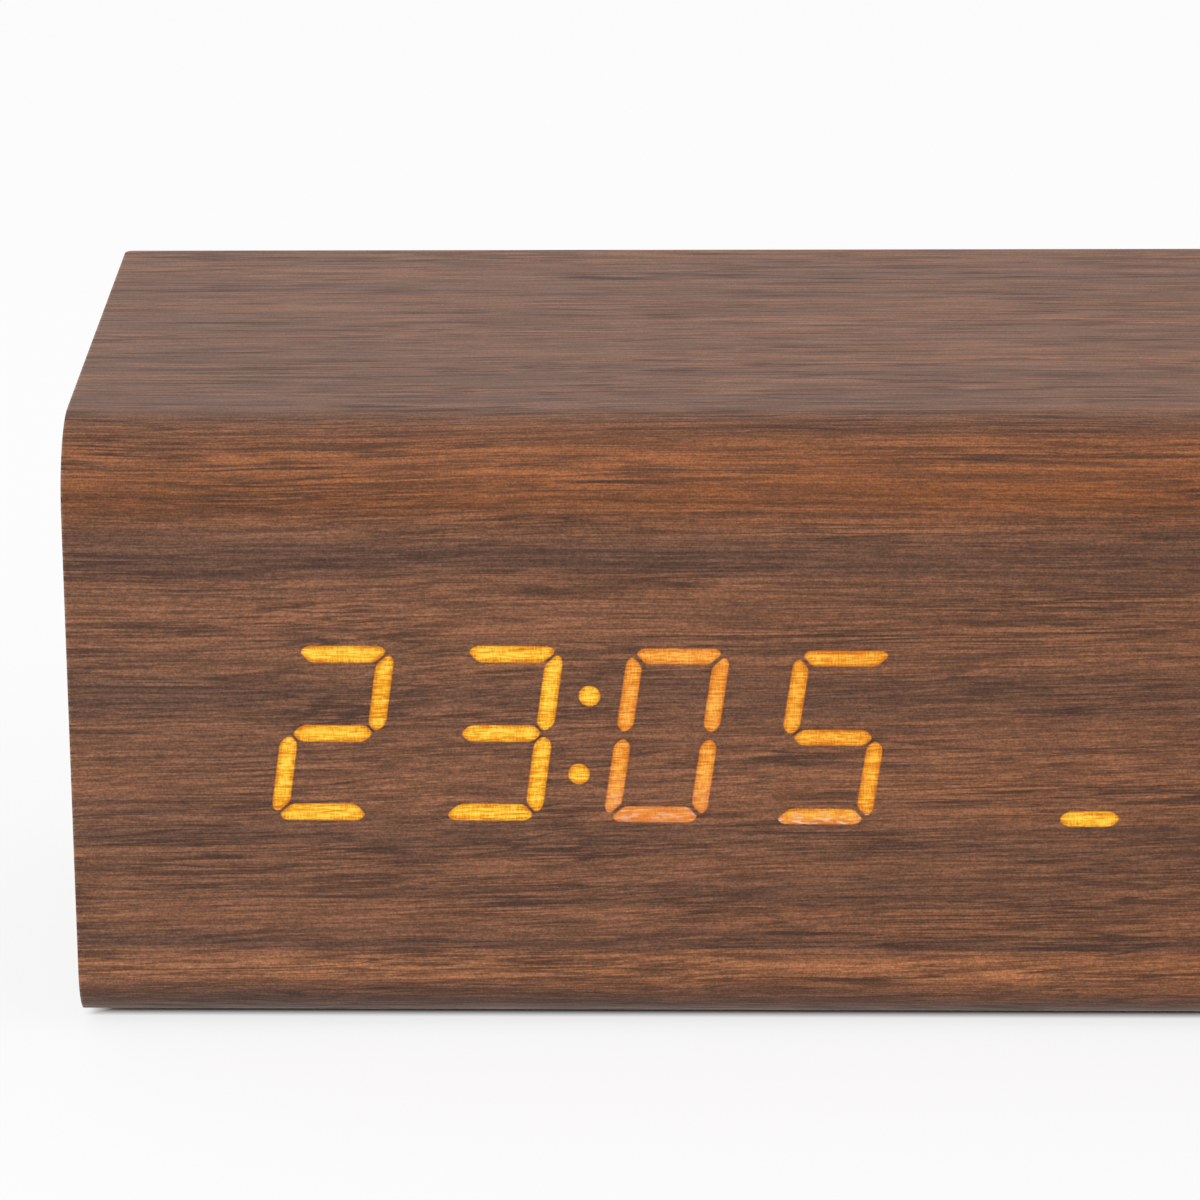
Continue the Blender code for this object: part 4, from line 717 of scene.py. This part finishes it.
# How far cutters run past a face, and the hair by which one clears it.
PAST = 1.0 * MM
TOUCH = 0.01 * MM
BUTTON_MOUTH, BUTTON_CORNER = (8.6 * MM, 5.6 * MM), 2.7 * MM
INLET_MOUTH, INLET_CORNER = (9.6 * MM, 4.0 * MM), 1.95 * MM
VENTS = 9
VENT_PITCH = 6 * MM
VENT_DROP = 10 * MM
VENT, VENT_CORNER = (2 * MM, 8 * MM), 0.7 * MM
SOUND_HOLES = 6
SOUND_RING = 3.2 * MM
SOUND_HOLE, SOUND_CORNER = 1.4 * MM, 0.69 * MM
SCREW_HOLE, SCREW_HOLE_CORNER = 2.8 * MM, 1.39 * MM
SCREW_SINK, SCREW_SINK_CORNER = 4.8 * MM, 2.39 * MM
SINK_DEPTH = 1.3 * MM
BOSS, BOSS_CORNER = 6 * MM, 2.98 * MM
BOSS_LENGTH = 6.5 * MM
BORE_LENGTH = 7 * MM
DOOR_THICKNESS = 1.2 * MM
DOOR_LEDGE = 1.0 * MM
REBATE_CORNER = 2 * MM
MOULDED_ANGLE = 50


def middle_of(node):
    """The middle (x, z) and size of a node as seen from behind."""
    low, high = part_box(node)
    return ((low.x + high.x) / 2, (low.z + high.z) / 2), (high.x - low.x, high.z - low.z)


def square(width):
    return width, width


def rounded_block(name, middle, size, corner, low_y, high_y, segments=6):
    """A block with its four edges along Y rounded."""
    x, z = middle
    width, height = size
    low = (x - width / 2, low_y, z - height / 2)
    high = (x + width / 2, high_y, z + height / 2)
    block = cuboid(name, low, high)
    pick(block, "EDGE", lambda c, n: abs(n.y) > 0.9)
    bevel(corner, segments)
    bpy.ops.object.mode_set(mode="OBJECT")
    return block


def grow(middle, size, y, sections):
    """Extrude the selected face along Y through sections of (y, width, height)."""
    width, height = size
    for next_y, next_width, next_height in sections:
        step = {"value": (0, next_y - y, 0)}
        bpy.ops.mesh.extrude_region_move(TRANSFORM_OT_translate=step)
        bpy.ops.transform.resize(
            value=(next_width / width, 1, next_height / height),
            center_override=(middle[0], next_y, middle[1]),
        )
        y, width, height = next_y, next_width, next_height


def rolled(size, y, roll, outward):
    """Sections that round an edge: opening out at a mouth (1) or closing in on a cap (-1)."""
    sections = []
    for turn in (22.5, 45, 67.5, 90):
        turn = math.radians(turn)
        out = outward * roll * (1 - math.cos(turn))
        sections.append((y + roll * math.sin(turn), size[0] + 2 * out, size[1] + 2 * out))
    return sections


def mouth(name, middle, size, corner, depth=PANEL_THICKNESS + PAST, segments=6):
    """A cutter for an opening whose edge at the panel's face is rolled over."""
    start = FACE_Y - MOUTH_ROLL
    cutter = rounded_block(name, middle, size, corner, FACE_Y - depth, start, segments)
    pick(cutter, "FACE", lambda c, n: n.y > 0.9)
    wide = [reach + 2 * MOUTH_ROLL for reach in size]
    roll = rolled(size, start, MOUTH_ROLL, 1)[:-1]
    grow(middle, size, start, roll + [(FACE_Y + TOUCH, *wide), (FACE_Y + PAST, *wide)])
    bpy.ops.object.mode_set(mode="OBJECT")
    return cutter


def hole(name, middle, size, corner):
    """A cutter that goes straight through the panel up to its face."""
    return rounded_block(name, middle, size, corner, PANEL_BACK_Y - PAST, FACE_Y)


def panel_openings():
    """The cutters for all openings in the rear panel."""
    for key in ("set", "up", "down"):
        yield mouth("button_mouth", middle_of(f"{key}_button")[0], BUTTON_MOUTH, BUTTON_CORNER)
    yield mouth("inlet_mouth", middle_of("power_inlet")[0], INLET_MOUTH, INLET_CORNER)
    for number in range(VENTS):
        place = ((number - VENTS // 2) * VENT_PITCH, PANEL_TOP - VENT_DROP)
        yield mouth("vent_mouth", place, VENT, VENT_CORNER, segments=4)
    ring_x, ring_z = middle_of("buzzer")[0]
    for number in range(SOUND_HOLES):
        turn = math.radians(360 / SOUND_HOLES * number)
        place = (ring_x + SOUND_RING * math.cos(turn), ring_z + SOUND_RING * math.sin(turn))
        yield mouth("sound_mouth", place, square(SOUND_HOLE), SOUND_CORNER, segments=5)
    door, (width, _) = middle_of("battery_door")
    yield hole("door_hole", door, square(width - 2 * DOOR_LEDGE), REBATE_CORNER)
    yield mouth("door_rebate", door, square(width + 2 * FIT), REBATE_CORNER, DOOR_THICKNESS + FIT)
    for number in (1, 2, 3, 4):
        place = middle_of(f"rear_screw_{number}")[0]
        yield hole("screw_hole", place, square(SCREW_HOLE), SCREW_HOLE_CORNER)
        yield mouth("screw_sink", place, square(SCREW_SINK), SCREW_SINK_CORNER, SINK_DEPTH + FIT)


def make_boss(place):
    """A round boss on the panel's inner side, bored for a screw."""
    low_y, high_y = PANEL_BACK_Y - BOSS_LENGTH, PANEL_BACK_Y + PAST
    boss = rounded_block("boss", place, square(BOSS), BOSS_CORNER, low_y, high_y)
    bore_y = PANEL_BACK_Y - BORE_LENGTH
    bore = ("bore", place, square(SCREW_HOLE), SCREW_HOLE_CORNER, bore_y, PANEL_BACK_Y)
    carve(boss, rounded_block(*bore))
    return boss


def make_rear_panel():
    middle, size = middle_of("rear_panel")
    panel = rounded_block("rear_moulding", middle, size, PANEL_CORNER, PANEL_BACK_Y, FACE_Y)
    pick(panel, "EDGE", lambda c, n: c.y > FACE_Y - TOUCH)
    bevel(PANEL_ROLL, 3)
    bpy.ops.object.mode_set(mode="OBJECT")
    carve(panel, *list(panel_openings()))
    bosses = [make_boss(middle_of(f"main_screw_{number}")[0]) for number in (1, 2, 3, 4)]
    return done(join("rear_moulding", [panel] + bosses), MOULDED_ANGLE)


def moulded_plastic():
    """Moulded plastic: spark texture, with painted shade and painted glints of its relief, faint
    mottling and a little dust.
    """
    group, n = node_group(
        "moulded plastic",
        {
            "Place": ("Vector", None),
            "Tint": ("Color", (0.02, 0.02, 0.02, 1)),
            "Texture": ("Float", 4.0),
        },
        {"Color": "Color", "Roughness": "Float", "Height": "Float"},
    )
    given, out = n.ends()
    place = n.millimetres(given["Place"])
    texture = {"Vector": place, "Scale": given["Texture"], "Detail": 3.0, "Roughness": 0.6}
    spark = n.add("TexNoise", texture).outputs["Fac"]
    cloud = n.noise(place, 0.12, 3, 0.6)
    dust = n.ramp(n.noise(place, 1.7, 4, 0.75), 0.62, 0.8)
    tint = n.tint(given["Tint"], n.ramp(cloud, 0.3, 0.7, 0.82, 1.25))
    # Painted shade and glints: the spark texture's hollows are darkened and its peaks lightened in
    # colour.
    tint = n.tint(tint, n.ramp(spark, 0.36, 0.64, 0.6, 1.5))
    n.feed(out["Color"], n.mix(n.times(dust, 0.06), tint, srgb(170, 165, 158)))
    rough = n.plus(n.ramp(spark, 0.3, 0.7, 0.42, 0.6), n.ramp(cloud, 0.3, 0.7, -0.04, 0.06))
    n.feed(out["Roughness"], rough)
    n.feed(out["Height"], spark)
    return group


MOULDED = moulded_plastic()
PAINTED_HIGHLIGHT_SHADE = srgb(112, 112, 116)


def plastic(name, tint, texture=4.0, bump=0.35, painted_highlight=0.0):
    """Moulded plastic in one tint, with a painted highlight on the edges rolled towards the rear,
    which are also made a little smoother.
    """
    made, n, shader = material(name)
    moulded = n.add("Group", node_tree=MOULDED)
    n.feed(moulded.inputs["Place"], n.add("TexCoord").outputs["Object"])
    moulded.inputs["Tint"].default_value = tint
    moulded.inputs["Texture"].default_value = texture
    facing = n.parts(n.add("TexCoord").outputs["Normal"])["Y"]
    # Painted highlight: the edges rolled towards the rear are mixed towards a pale grey, and made a
    # little smoother.
    edge = n.times(n.ramp(facing, 0.05, 0.4, 0, painted_highlight), n.ramp(facing, 0.985, 0.85))
    highlighted = n.times(edge, n.ramp(moulded.outputs["Height"], 0.3, 0.6, 0.5, 1.0))
    n.feed(shader.inputs["Base Color"], n.mix(highlighted, moulded.outputs["Color"], PAINTED_HIGHLIGHT_SHADE))
    rough = n.minus(moulded.outputs["Roughness"], n.times(edge, 0.12))
    n.feed(shader.inputs["Roughness"], rough)
    n.feed(shader.inputs["Normal"], n.bump(moulded.outputs["Height"], bump, 0.05 * MM))
    return made


# Black plastic of the rear panel, door and cell holder, with a painted highlight on its rolled
# edges.
BLACK = plastic("black_moulding", srgb(34, 34, 36), 2.4, painted_highlight=0.7)
rear_panel = make_rear_panel()
rear_panel.data.materials.append(BLACK)
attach(rear_panel, "clock")
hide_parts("rear_panel")

# Battery door. A small square lid of the same plastic as the rear panel lies in a rebate over the
# cell. A scoop at its lower edge takes a fingernail, and two ribs behind it fit the opening.
DOOR_CORNER = 1.7 * MM
SCOOP, SCOOP_CORNER = (8 * MM, 4 * MM), 1.2 * MM
SCOOP_DEPTH = 0.6 * MM
SCOOP_ROLL = 0.3 * MM
RIB_THICKNESS = 1.2 * MM
RIB_FROM, RIB_TO = 2.2 * MM, 0.8 * MM


def make_door():
    middle, size = middle_of("battery_door")
    size = square(size[0])
    back, start = FACE_Y - DOOR_THICKNESS, FACE_Y - MOUTH_ROLL
    door = rounded_block("door_moulding", middle, size, DOOR_CORNER, back, start)
    pick(door, "FACE", lambda c, n: n.y > 0.9)
    grow(middle, size, start, rolled(size, start, MOUTH_ROLL, -1))
    bpy.ops.object.mode_set(mode="OBJECT")
    edge = (middle[0], middle[1] - size[0] / 2)
    floor_y = FACE_Y - SCOOP_DEPTH
    scoop = rounded_block("scoop", edge, SCOOP, SCOOP_CORNER, floor_y, FACE_Y + PAST)
    pick(scoop, "EDGE", lambda c, n: c.y < floor_y + TOUCH)
    bevel(SCOOP_ROLL, 3)
    bpy.ops.object.mode_set(mode="OBJECT")
    carve(door, scoop)
    ribs = []
    reach = size[0] / 2 - DOOR_LEDGE - FIT
    for side in (-1, 1):
        outer = middle[0] + side * reach
        left, right = sorted((outer, outer - side * RIB_THICKNESS))
        low = (left, FACE_Y - RIB_FROM, middle[1] - reach / 2)
        high = (right, FACE_Y - RIB_TO, middle[1] + reach / 2)
        ribs.append(cuboid("door_rib", low, high))
    return done(join("door_moulding", [door] + ribs), MOULDED_ANGLE)


battery_door = make_door()
battery_door.data.materials.append(BLACK)
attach(battery_door, "battery_cover")
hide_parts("battery_door")

# Small mouldings inside. The cell holder is of the rear panel's plastic, the buzzer's and the
# switches' housings are smoother and black, and light box, coil tray and plungers are white.


def dress(finish, *nodes):
    """Give carried-over nodes a better material."""
    for node in nodes:
        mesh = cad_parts[node].data
        mesh.materials.clear()
        mesh.materials.append(finish)


HOUSING = plastic("black_housing", srgb(26, 26, 28), 6.0, 0.2)
WHITE = plastic("white_moulding", srgb(226, 226, 222), 5.0, 0.2)
dress(BLACK, "cell_holder")
dress(HOUSING, "buzzer", "set_switch", "up_switch", "down_switch")
dress(WHITE, "light_box", "coil_tray", "set_plunger", "up_plunger", "down_plunger")

# Buttons. Three pill-shaped caps of the same black plastic, with rolled edges and a faint dish,
# stand a little proud of the rear panel. Each has a flange that keeps it behind the panel.
CAP = (8 * MM, 5 * MM)
CAP_ROLL = 0.5 * MM
FLANGE_CORNER = 3.4 * MM
FLANGE_THICKNESS = 0.8 * MM
STEM = square(3.4 * MM)
# The dish: its depth, and its share of the cap's face in width and height.
DISH = ((0.0, 0.88, 0.8), (0.08 * MM, 0.7, 0.56), (0.14 * MM, 0.4, 0.24))


def make_button(key):
    middle, flange = middle_of(f"{key}_button")
    low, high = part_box(f"{key}_button")
    front = PANEL_BACK_Y - FIT
    back = front - FLANGE_THICKNESS
    cap = rounded_block(f"{key}_cap", middle, flange, FLANGE_CORNER, back, front, 10)
    pick(cap, "FACE", lambda c, n: n.y > 0.9)
    start = high.y - CAP_ROLL
    edge = rolled(CAP, start, CAP_ROLL, -1)
    _, width, height = edge[-1]
    dish = [(high.y - deep, across * width, up * height) for deep, across, up in DISH]
    grow(middle, flange, front, [(front, *CAP), (start, *CAP)] + edge + dish)
    pick(cap, "FACE", lambda c, n: n.y < -0.9)
    grow(middle, flange, back, ((back, *STEM), (low.y, *STEM)))
    bpy.ops.mesh.select_all(action="SELECT")
    bpy.ops.mesh.normals_make_consistent(inside=False)
    return done(cap, 40)


# The buttons' plastic, with a painted highlight on their rolled edges.
BUTTON = plastic("button_plastic", srgb(44, 44, 47), 5.0, 0.25, painted_highlight=0.7)
for key in ("set", "up", "down"):
    cap = make_button(key)
    cap.data.materials.append(BUTTON)
    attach(cap, f"{key}_key")
    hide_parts(f"{key}_button")

# Metal. The screws are zinc-plated steel, turned and rolled, the inlet's shell is tinned sheet and
# the coin cell is pressed from plated sheet.


def worked_metal(name, tint, scale, low, high):
    """Bare or plated metal: fine marks of the tool, clouded plating and small scratches."""
    made, n, shader = material(name)
    place = n.millimetres()
    marks = n.noise(place, scale, 2, 0.6, (1, 0.2, 1))
    cloud = n.noise(place, 0.6, 3, 0.6)
    clouded = n.mix(n.ramp(cloud, 0.3, 0.7), tint, n.tint(tint, (0.8, 0.78, 0.74, 1)))
    n.feed(shader.inputs["Base Color"], clouded)
    rough = n.plus(n.ramp(marks, 0.3, 0.7, low, high), n.ramp(cloud, 0.4, 0.8, 0, 0.08))
    n.feed(shader.inputs["Roughness"], rough)
    n.feed(shader.inputs["Normal"], n.bump(marks, 0.25, 0.03 * MM))
    shader.inputs["Metallic"].default_value = 1.0
    return made


ZINC = worked_metal("zinc_plate", srgb(196, 196, 198), 6.0, 0.24, 0.4)
dress(ZINC, *[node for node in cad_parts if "_screw_" in node])
dress(worked_metal("tinned_shell", srgb(206, 206, 204), 4.0, 0.2, 0.34), "power_inlet")
dress(worked_metal("cell_plate", srgb(212, 210, 204), 3.0, 0.18, 0.3), "coin_cell")

# Feet. Four discs of black rubber, moulded, pressed into shallow recesses in the casing's
# underside and glued there.


def rubber():
    """Moulded rubber with a grey bloom."""
    made, n, shader = material("black_rubber")
    place = n.millimetres()
    bloom = n.noise(place, 1.2, 4, 0.65)
    grit = n.noise(place, 7.0, 2, 0.5)
    colour = n.mix(n.ramp(bloom, 0.4, 0.75), srgb(30, 30, 30), srgb(56, 54, 52))
    n.feed(shader.inputs["Base Color"], colour)
    n.feed(shader.inputs["Roughness"], n.ramp(bloom, 0.3, 0.7, 0.74, 0.9))
    n.feed(shader.inputs["Normal"], n.bump(grit, 0.4, 0.06 * MM))
    return made


dress(rubber(), *[f"rubber_foot_{number}" for number in (1, 2, 3, 4)])

# Boards. Glass-cloth laminate under green solder mask, with copper tracks showing as a slightly
# raised, lighter pattern and tinned pads along them.


def laminate():
    """Green solder mask over tracks and glass cloth, with tinned pads."""
    made, n, shader = material("green_board")
    place = n.millimetres()
    cells = {"Vector": place, "Scale": 0.35, "Mortar Size": 0.06, "Mortar Smooth": 0.1}
    tracks = n.ramp(n.add("TexBrick", cells).outputs["Fac"], 0.3, 0.7)
    spots = n.add("TexVoronoi", {"Vector": place, "Scale": 0.4}).outputs["Distance"]
    pads = n.ramp(spots, 0.16, 0.12)
    cloth = n.noise(place, 2.5, 2, 0.5)
    mask = n.mix(tracks, srgb(16, 74, 40), srgb(30, 104, 58))
    mask = n.mix(n.ramp(cloth, 0.3, 0.7, 0, 0.3), mask, srgb(10, 54, 30))
    n.feed(shader.inputs["Base Color"], n.mix(pads, mask, srgb(196, 190, 176)))
    n.feed(shader.inputs["Roughness"], n.ramp(cloth, 0.3, 0.7, 0.3, 0.42))
    n.feed(shader.inputs["Normal"], n.bump(n.math("MAXIMUM", tracks, pads), 0.5, 0.05 * MM))
    return made


dress(laminate(), "main_board", "display_board", "charger_board")

# Charging coil, its shield, the diffuser film and the pine battens. Enamelled copper wire lies on
# a plate of dark ferrite, the film is frosted on both sides, and the battens are planed and glued.


def mottled(name, grain, spread, shades, rough, bump=0.0, metallic=0.0):
    """Two shades mixed by one noise, which also sets the roughness and, if asked, the height."""
    made, n, shader = material(name)
    mottle = n.noise(n.millimetres(), *grain)
    dark, light = [srgb(*shade) for shade in shades]
    n.feed(shader.inputs["Base Color"], n.mix(n.ramp(mottle, *spread), dark, light))
    n.feed(shader.inputs["Roughness"], n.ramp(mottle, 0.3, 0.7, *rough))
    shader.inputs["Metallic"].default_value = metallic
    if bump:
        n.feed(shader.inputs["Normal"], n.bump(mottle, bump, 0.1 * MM))
    return made


WIRE_SHADES = ((196, 108, 62), (226, 140, 88))
COPPER = mottled(
    "enamelled_copper", (3.0, 3, 0.6), (0.3, 0.7), WIRE_SHADES, (0.22, 0.36), metallic=1.0
)
FERRITE_SHADES = ((58, 57, 60), (82, 80, 82))
FERRITE = mottled("ferrite_plate", (4.0, 4, 0.7), (0.35, 0.65), FERRITE_SHADES, (0.6, 0.8), 0.4)
FROST_SHADES = ((226, 226, 222), (240, 240, 238))
FROSTED = mottled("frosted_sheet", (8.0, 2, 0.6), (0, 1), FROST_SHADES, (0.5, 0.7))
PINE_SHADES = ((214, 178, 128), (180, 134, 84))
PINE_GRAIN = (0.8, 3, 0.6, (1, 1, 0.05))
PINE = mottled("clear_pine", PINE_GRAIN, (0.35, 0.65), PINE_SHADES, (0.6, 0.8), 0.3)
dress(COPPER, "charging_coil")
dress(FERRITE, "ferrite_shield")
dress(FROSTED, "diffuser_film")
dress(PINE, "left_cleat", "right_cleat")

# Leads. Two short cables join the main board to the display's and the charger's, each in a red
# silicone sleeve and plugged in at both ends.
dress(plastic("red_sleeve", srgb(176, 40, 34), 3.0, 0.15), "display_lead", "charger_lead")

# Studio. A pale floor without an end, an even pale surrounding, two large soft lamps, and a camera
# with a long lens that looks down a little on the block from in front and slightly to the right.
FLOOR_SIZE = 12
FLOOR_GLOW = 0.8
# The floor keeps its own shade, with the contact shadow, under the block: half length and depth
# of that place, each with the breadth of its soft edge.
UNDER_X = (0.08, 0.083)
UNDER_Y = (0.0252, 0.027)
SURROUNDING = 0.72
LAMP_SIZE = 0.9
LAMPS = (("key_light", (-0.7, -1.1, 1.3), 9.0), ("fill_light", (1.1, -0.7, 0.9), 3.5))
CAMERA_PLACE = (0.0341, -0.9814, 0.3604)
CAMERA_TURN = (71.7385, 1.0997, 3.4152)
CAMERA_LENS = 300.03


def seen(n):
    """1 for what the camera sees, by itself, in a gloss or through glass; 0 for light cast."""
    rays = n.add("LightPath").outputs
    bent = n.math("MAXIMUM", rays["Is Glossy Ray"], rays["Is Transmission Ray"])
    return n.math("MAXIMUM", rays["Is Camera Ray"], bent)


def pale_floor():
    """Matt and pale, and seen brighter than it is lit, except under the block."""
    made, n, shader = material("pale_floor")
    shader.inputs["Base Color"].default_value = (0.95, 0.95, 0.95, 1)
    shader.inputs["Roughness"].default_value = 0.9
    shader.inputs["Specular IOR Level"].default_value = 0.1
    glow = n.add("Emission", {"Color": (1, 1, 1, 1), "Strength": 1.0})
    spot = n.parts(n.add("TexCoord").outputs["Object"])
    beside = n.ramp(n.math("ABSOLUTE", spot["X"]), *UNDER_X)
    before = n.ramp(n.math("ABSOLUTE", spot["Y"]), *UNDER_Y)
    open_floor = n.math("MAXIMUM", beside, before)
    blend = n.add("MixShader", {"Fac": n.times(n.times(seen(n), FLOOR_GLOW), open_floor)})
    n.feed(blend.inputs[1], shader.outputs[0])
    n.feed(blend.inputs[2], glow.outputs[0])
    n.feed(made.node_tree.nodes["Material Output"].inputs["Surface"], blend.outputs[0])
    return made


floor = add(bpy.ops.mesh.primitive_plane_add, "studio_floor", size=FLOOR_SIZE)
floor.data.materials.append(pale_floor())

world = bpy.data.worlds.new("pale_surrounding")
bpy.context.scene.world = world
world.use_nodes = True
n = Nodes(world.node_tree)
sky = world.node_tree.nodes["Background"]
sky.inputs["Color"].default_value = (1, 1, 1, 1)
n.feed(sky.inputs["Strength"], n.ramp(seen(n), 0, 1, SURROUNDING, 1.0))

for name, place, power in LAMPS:
    bpy.ops.object.light_add(type="AREA", location=place)
    lamp = bpy.context.object
    lamp.name = name
    lamp.data.size = LAMP_SIZE
    lamp.data.energy = power
    lamp.rotation_euler = (-Vector(place)).to_track_quat("-Z", "Y").to_euler()

bpy.ops.object.camera_add(location=CAMERA_PLACE)
camera = bpy.context.object
camera.rotation_euler = [math.radians(turn) for turn in CAMERA_TURN]
camera.data.sensor_width = 36
camera.data.lens = CAMERA_LENS
camera.data.clip_start = 0.05
camera.data.clip_end = 20
bpy.context.scene.camera = camera
bpy.context.scene.view_settings.view_transform = "Standard"
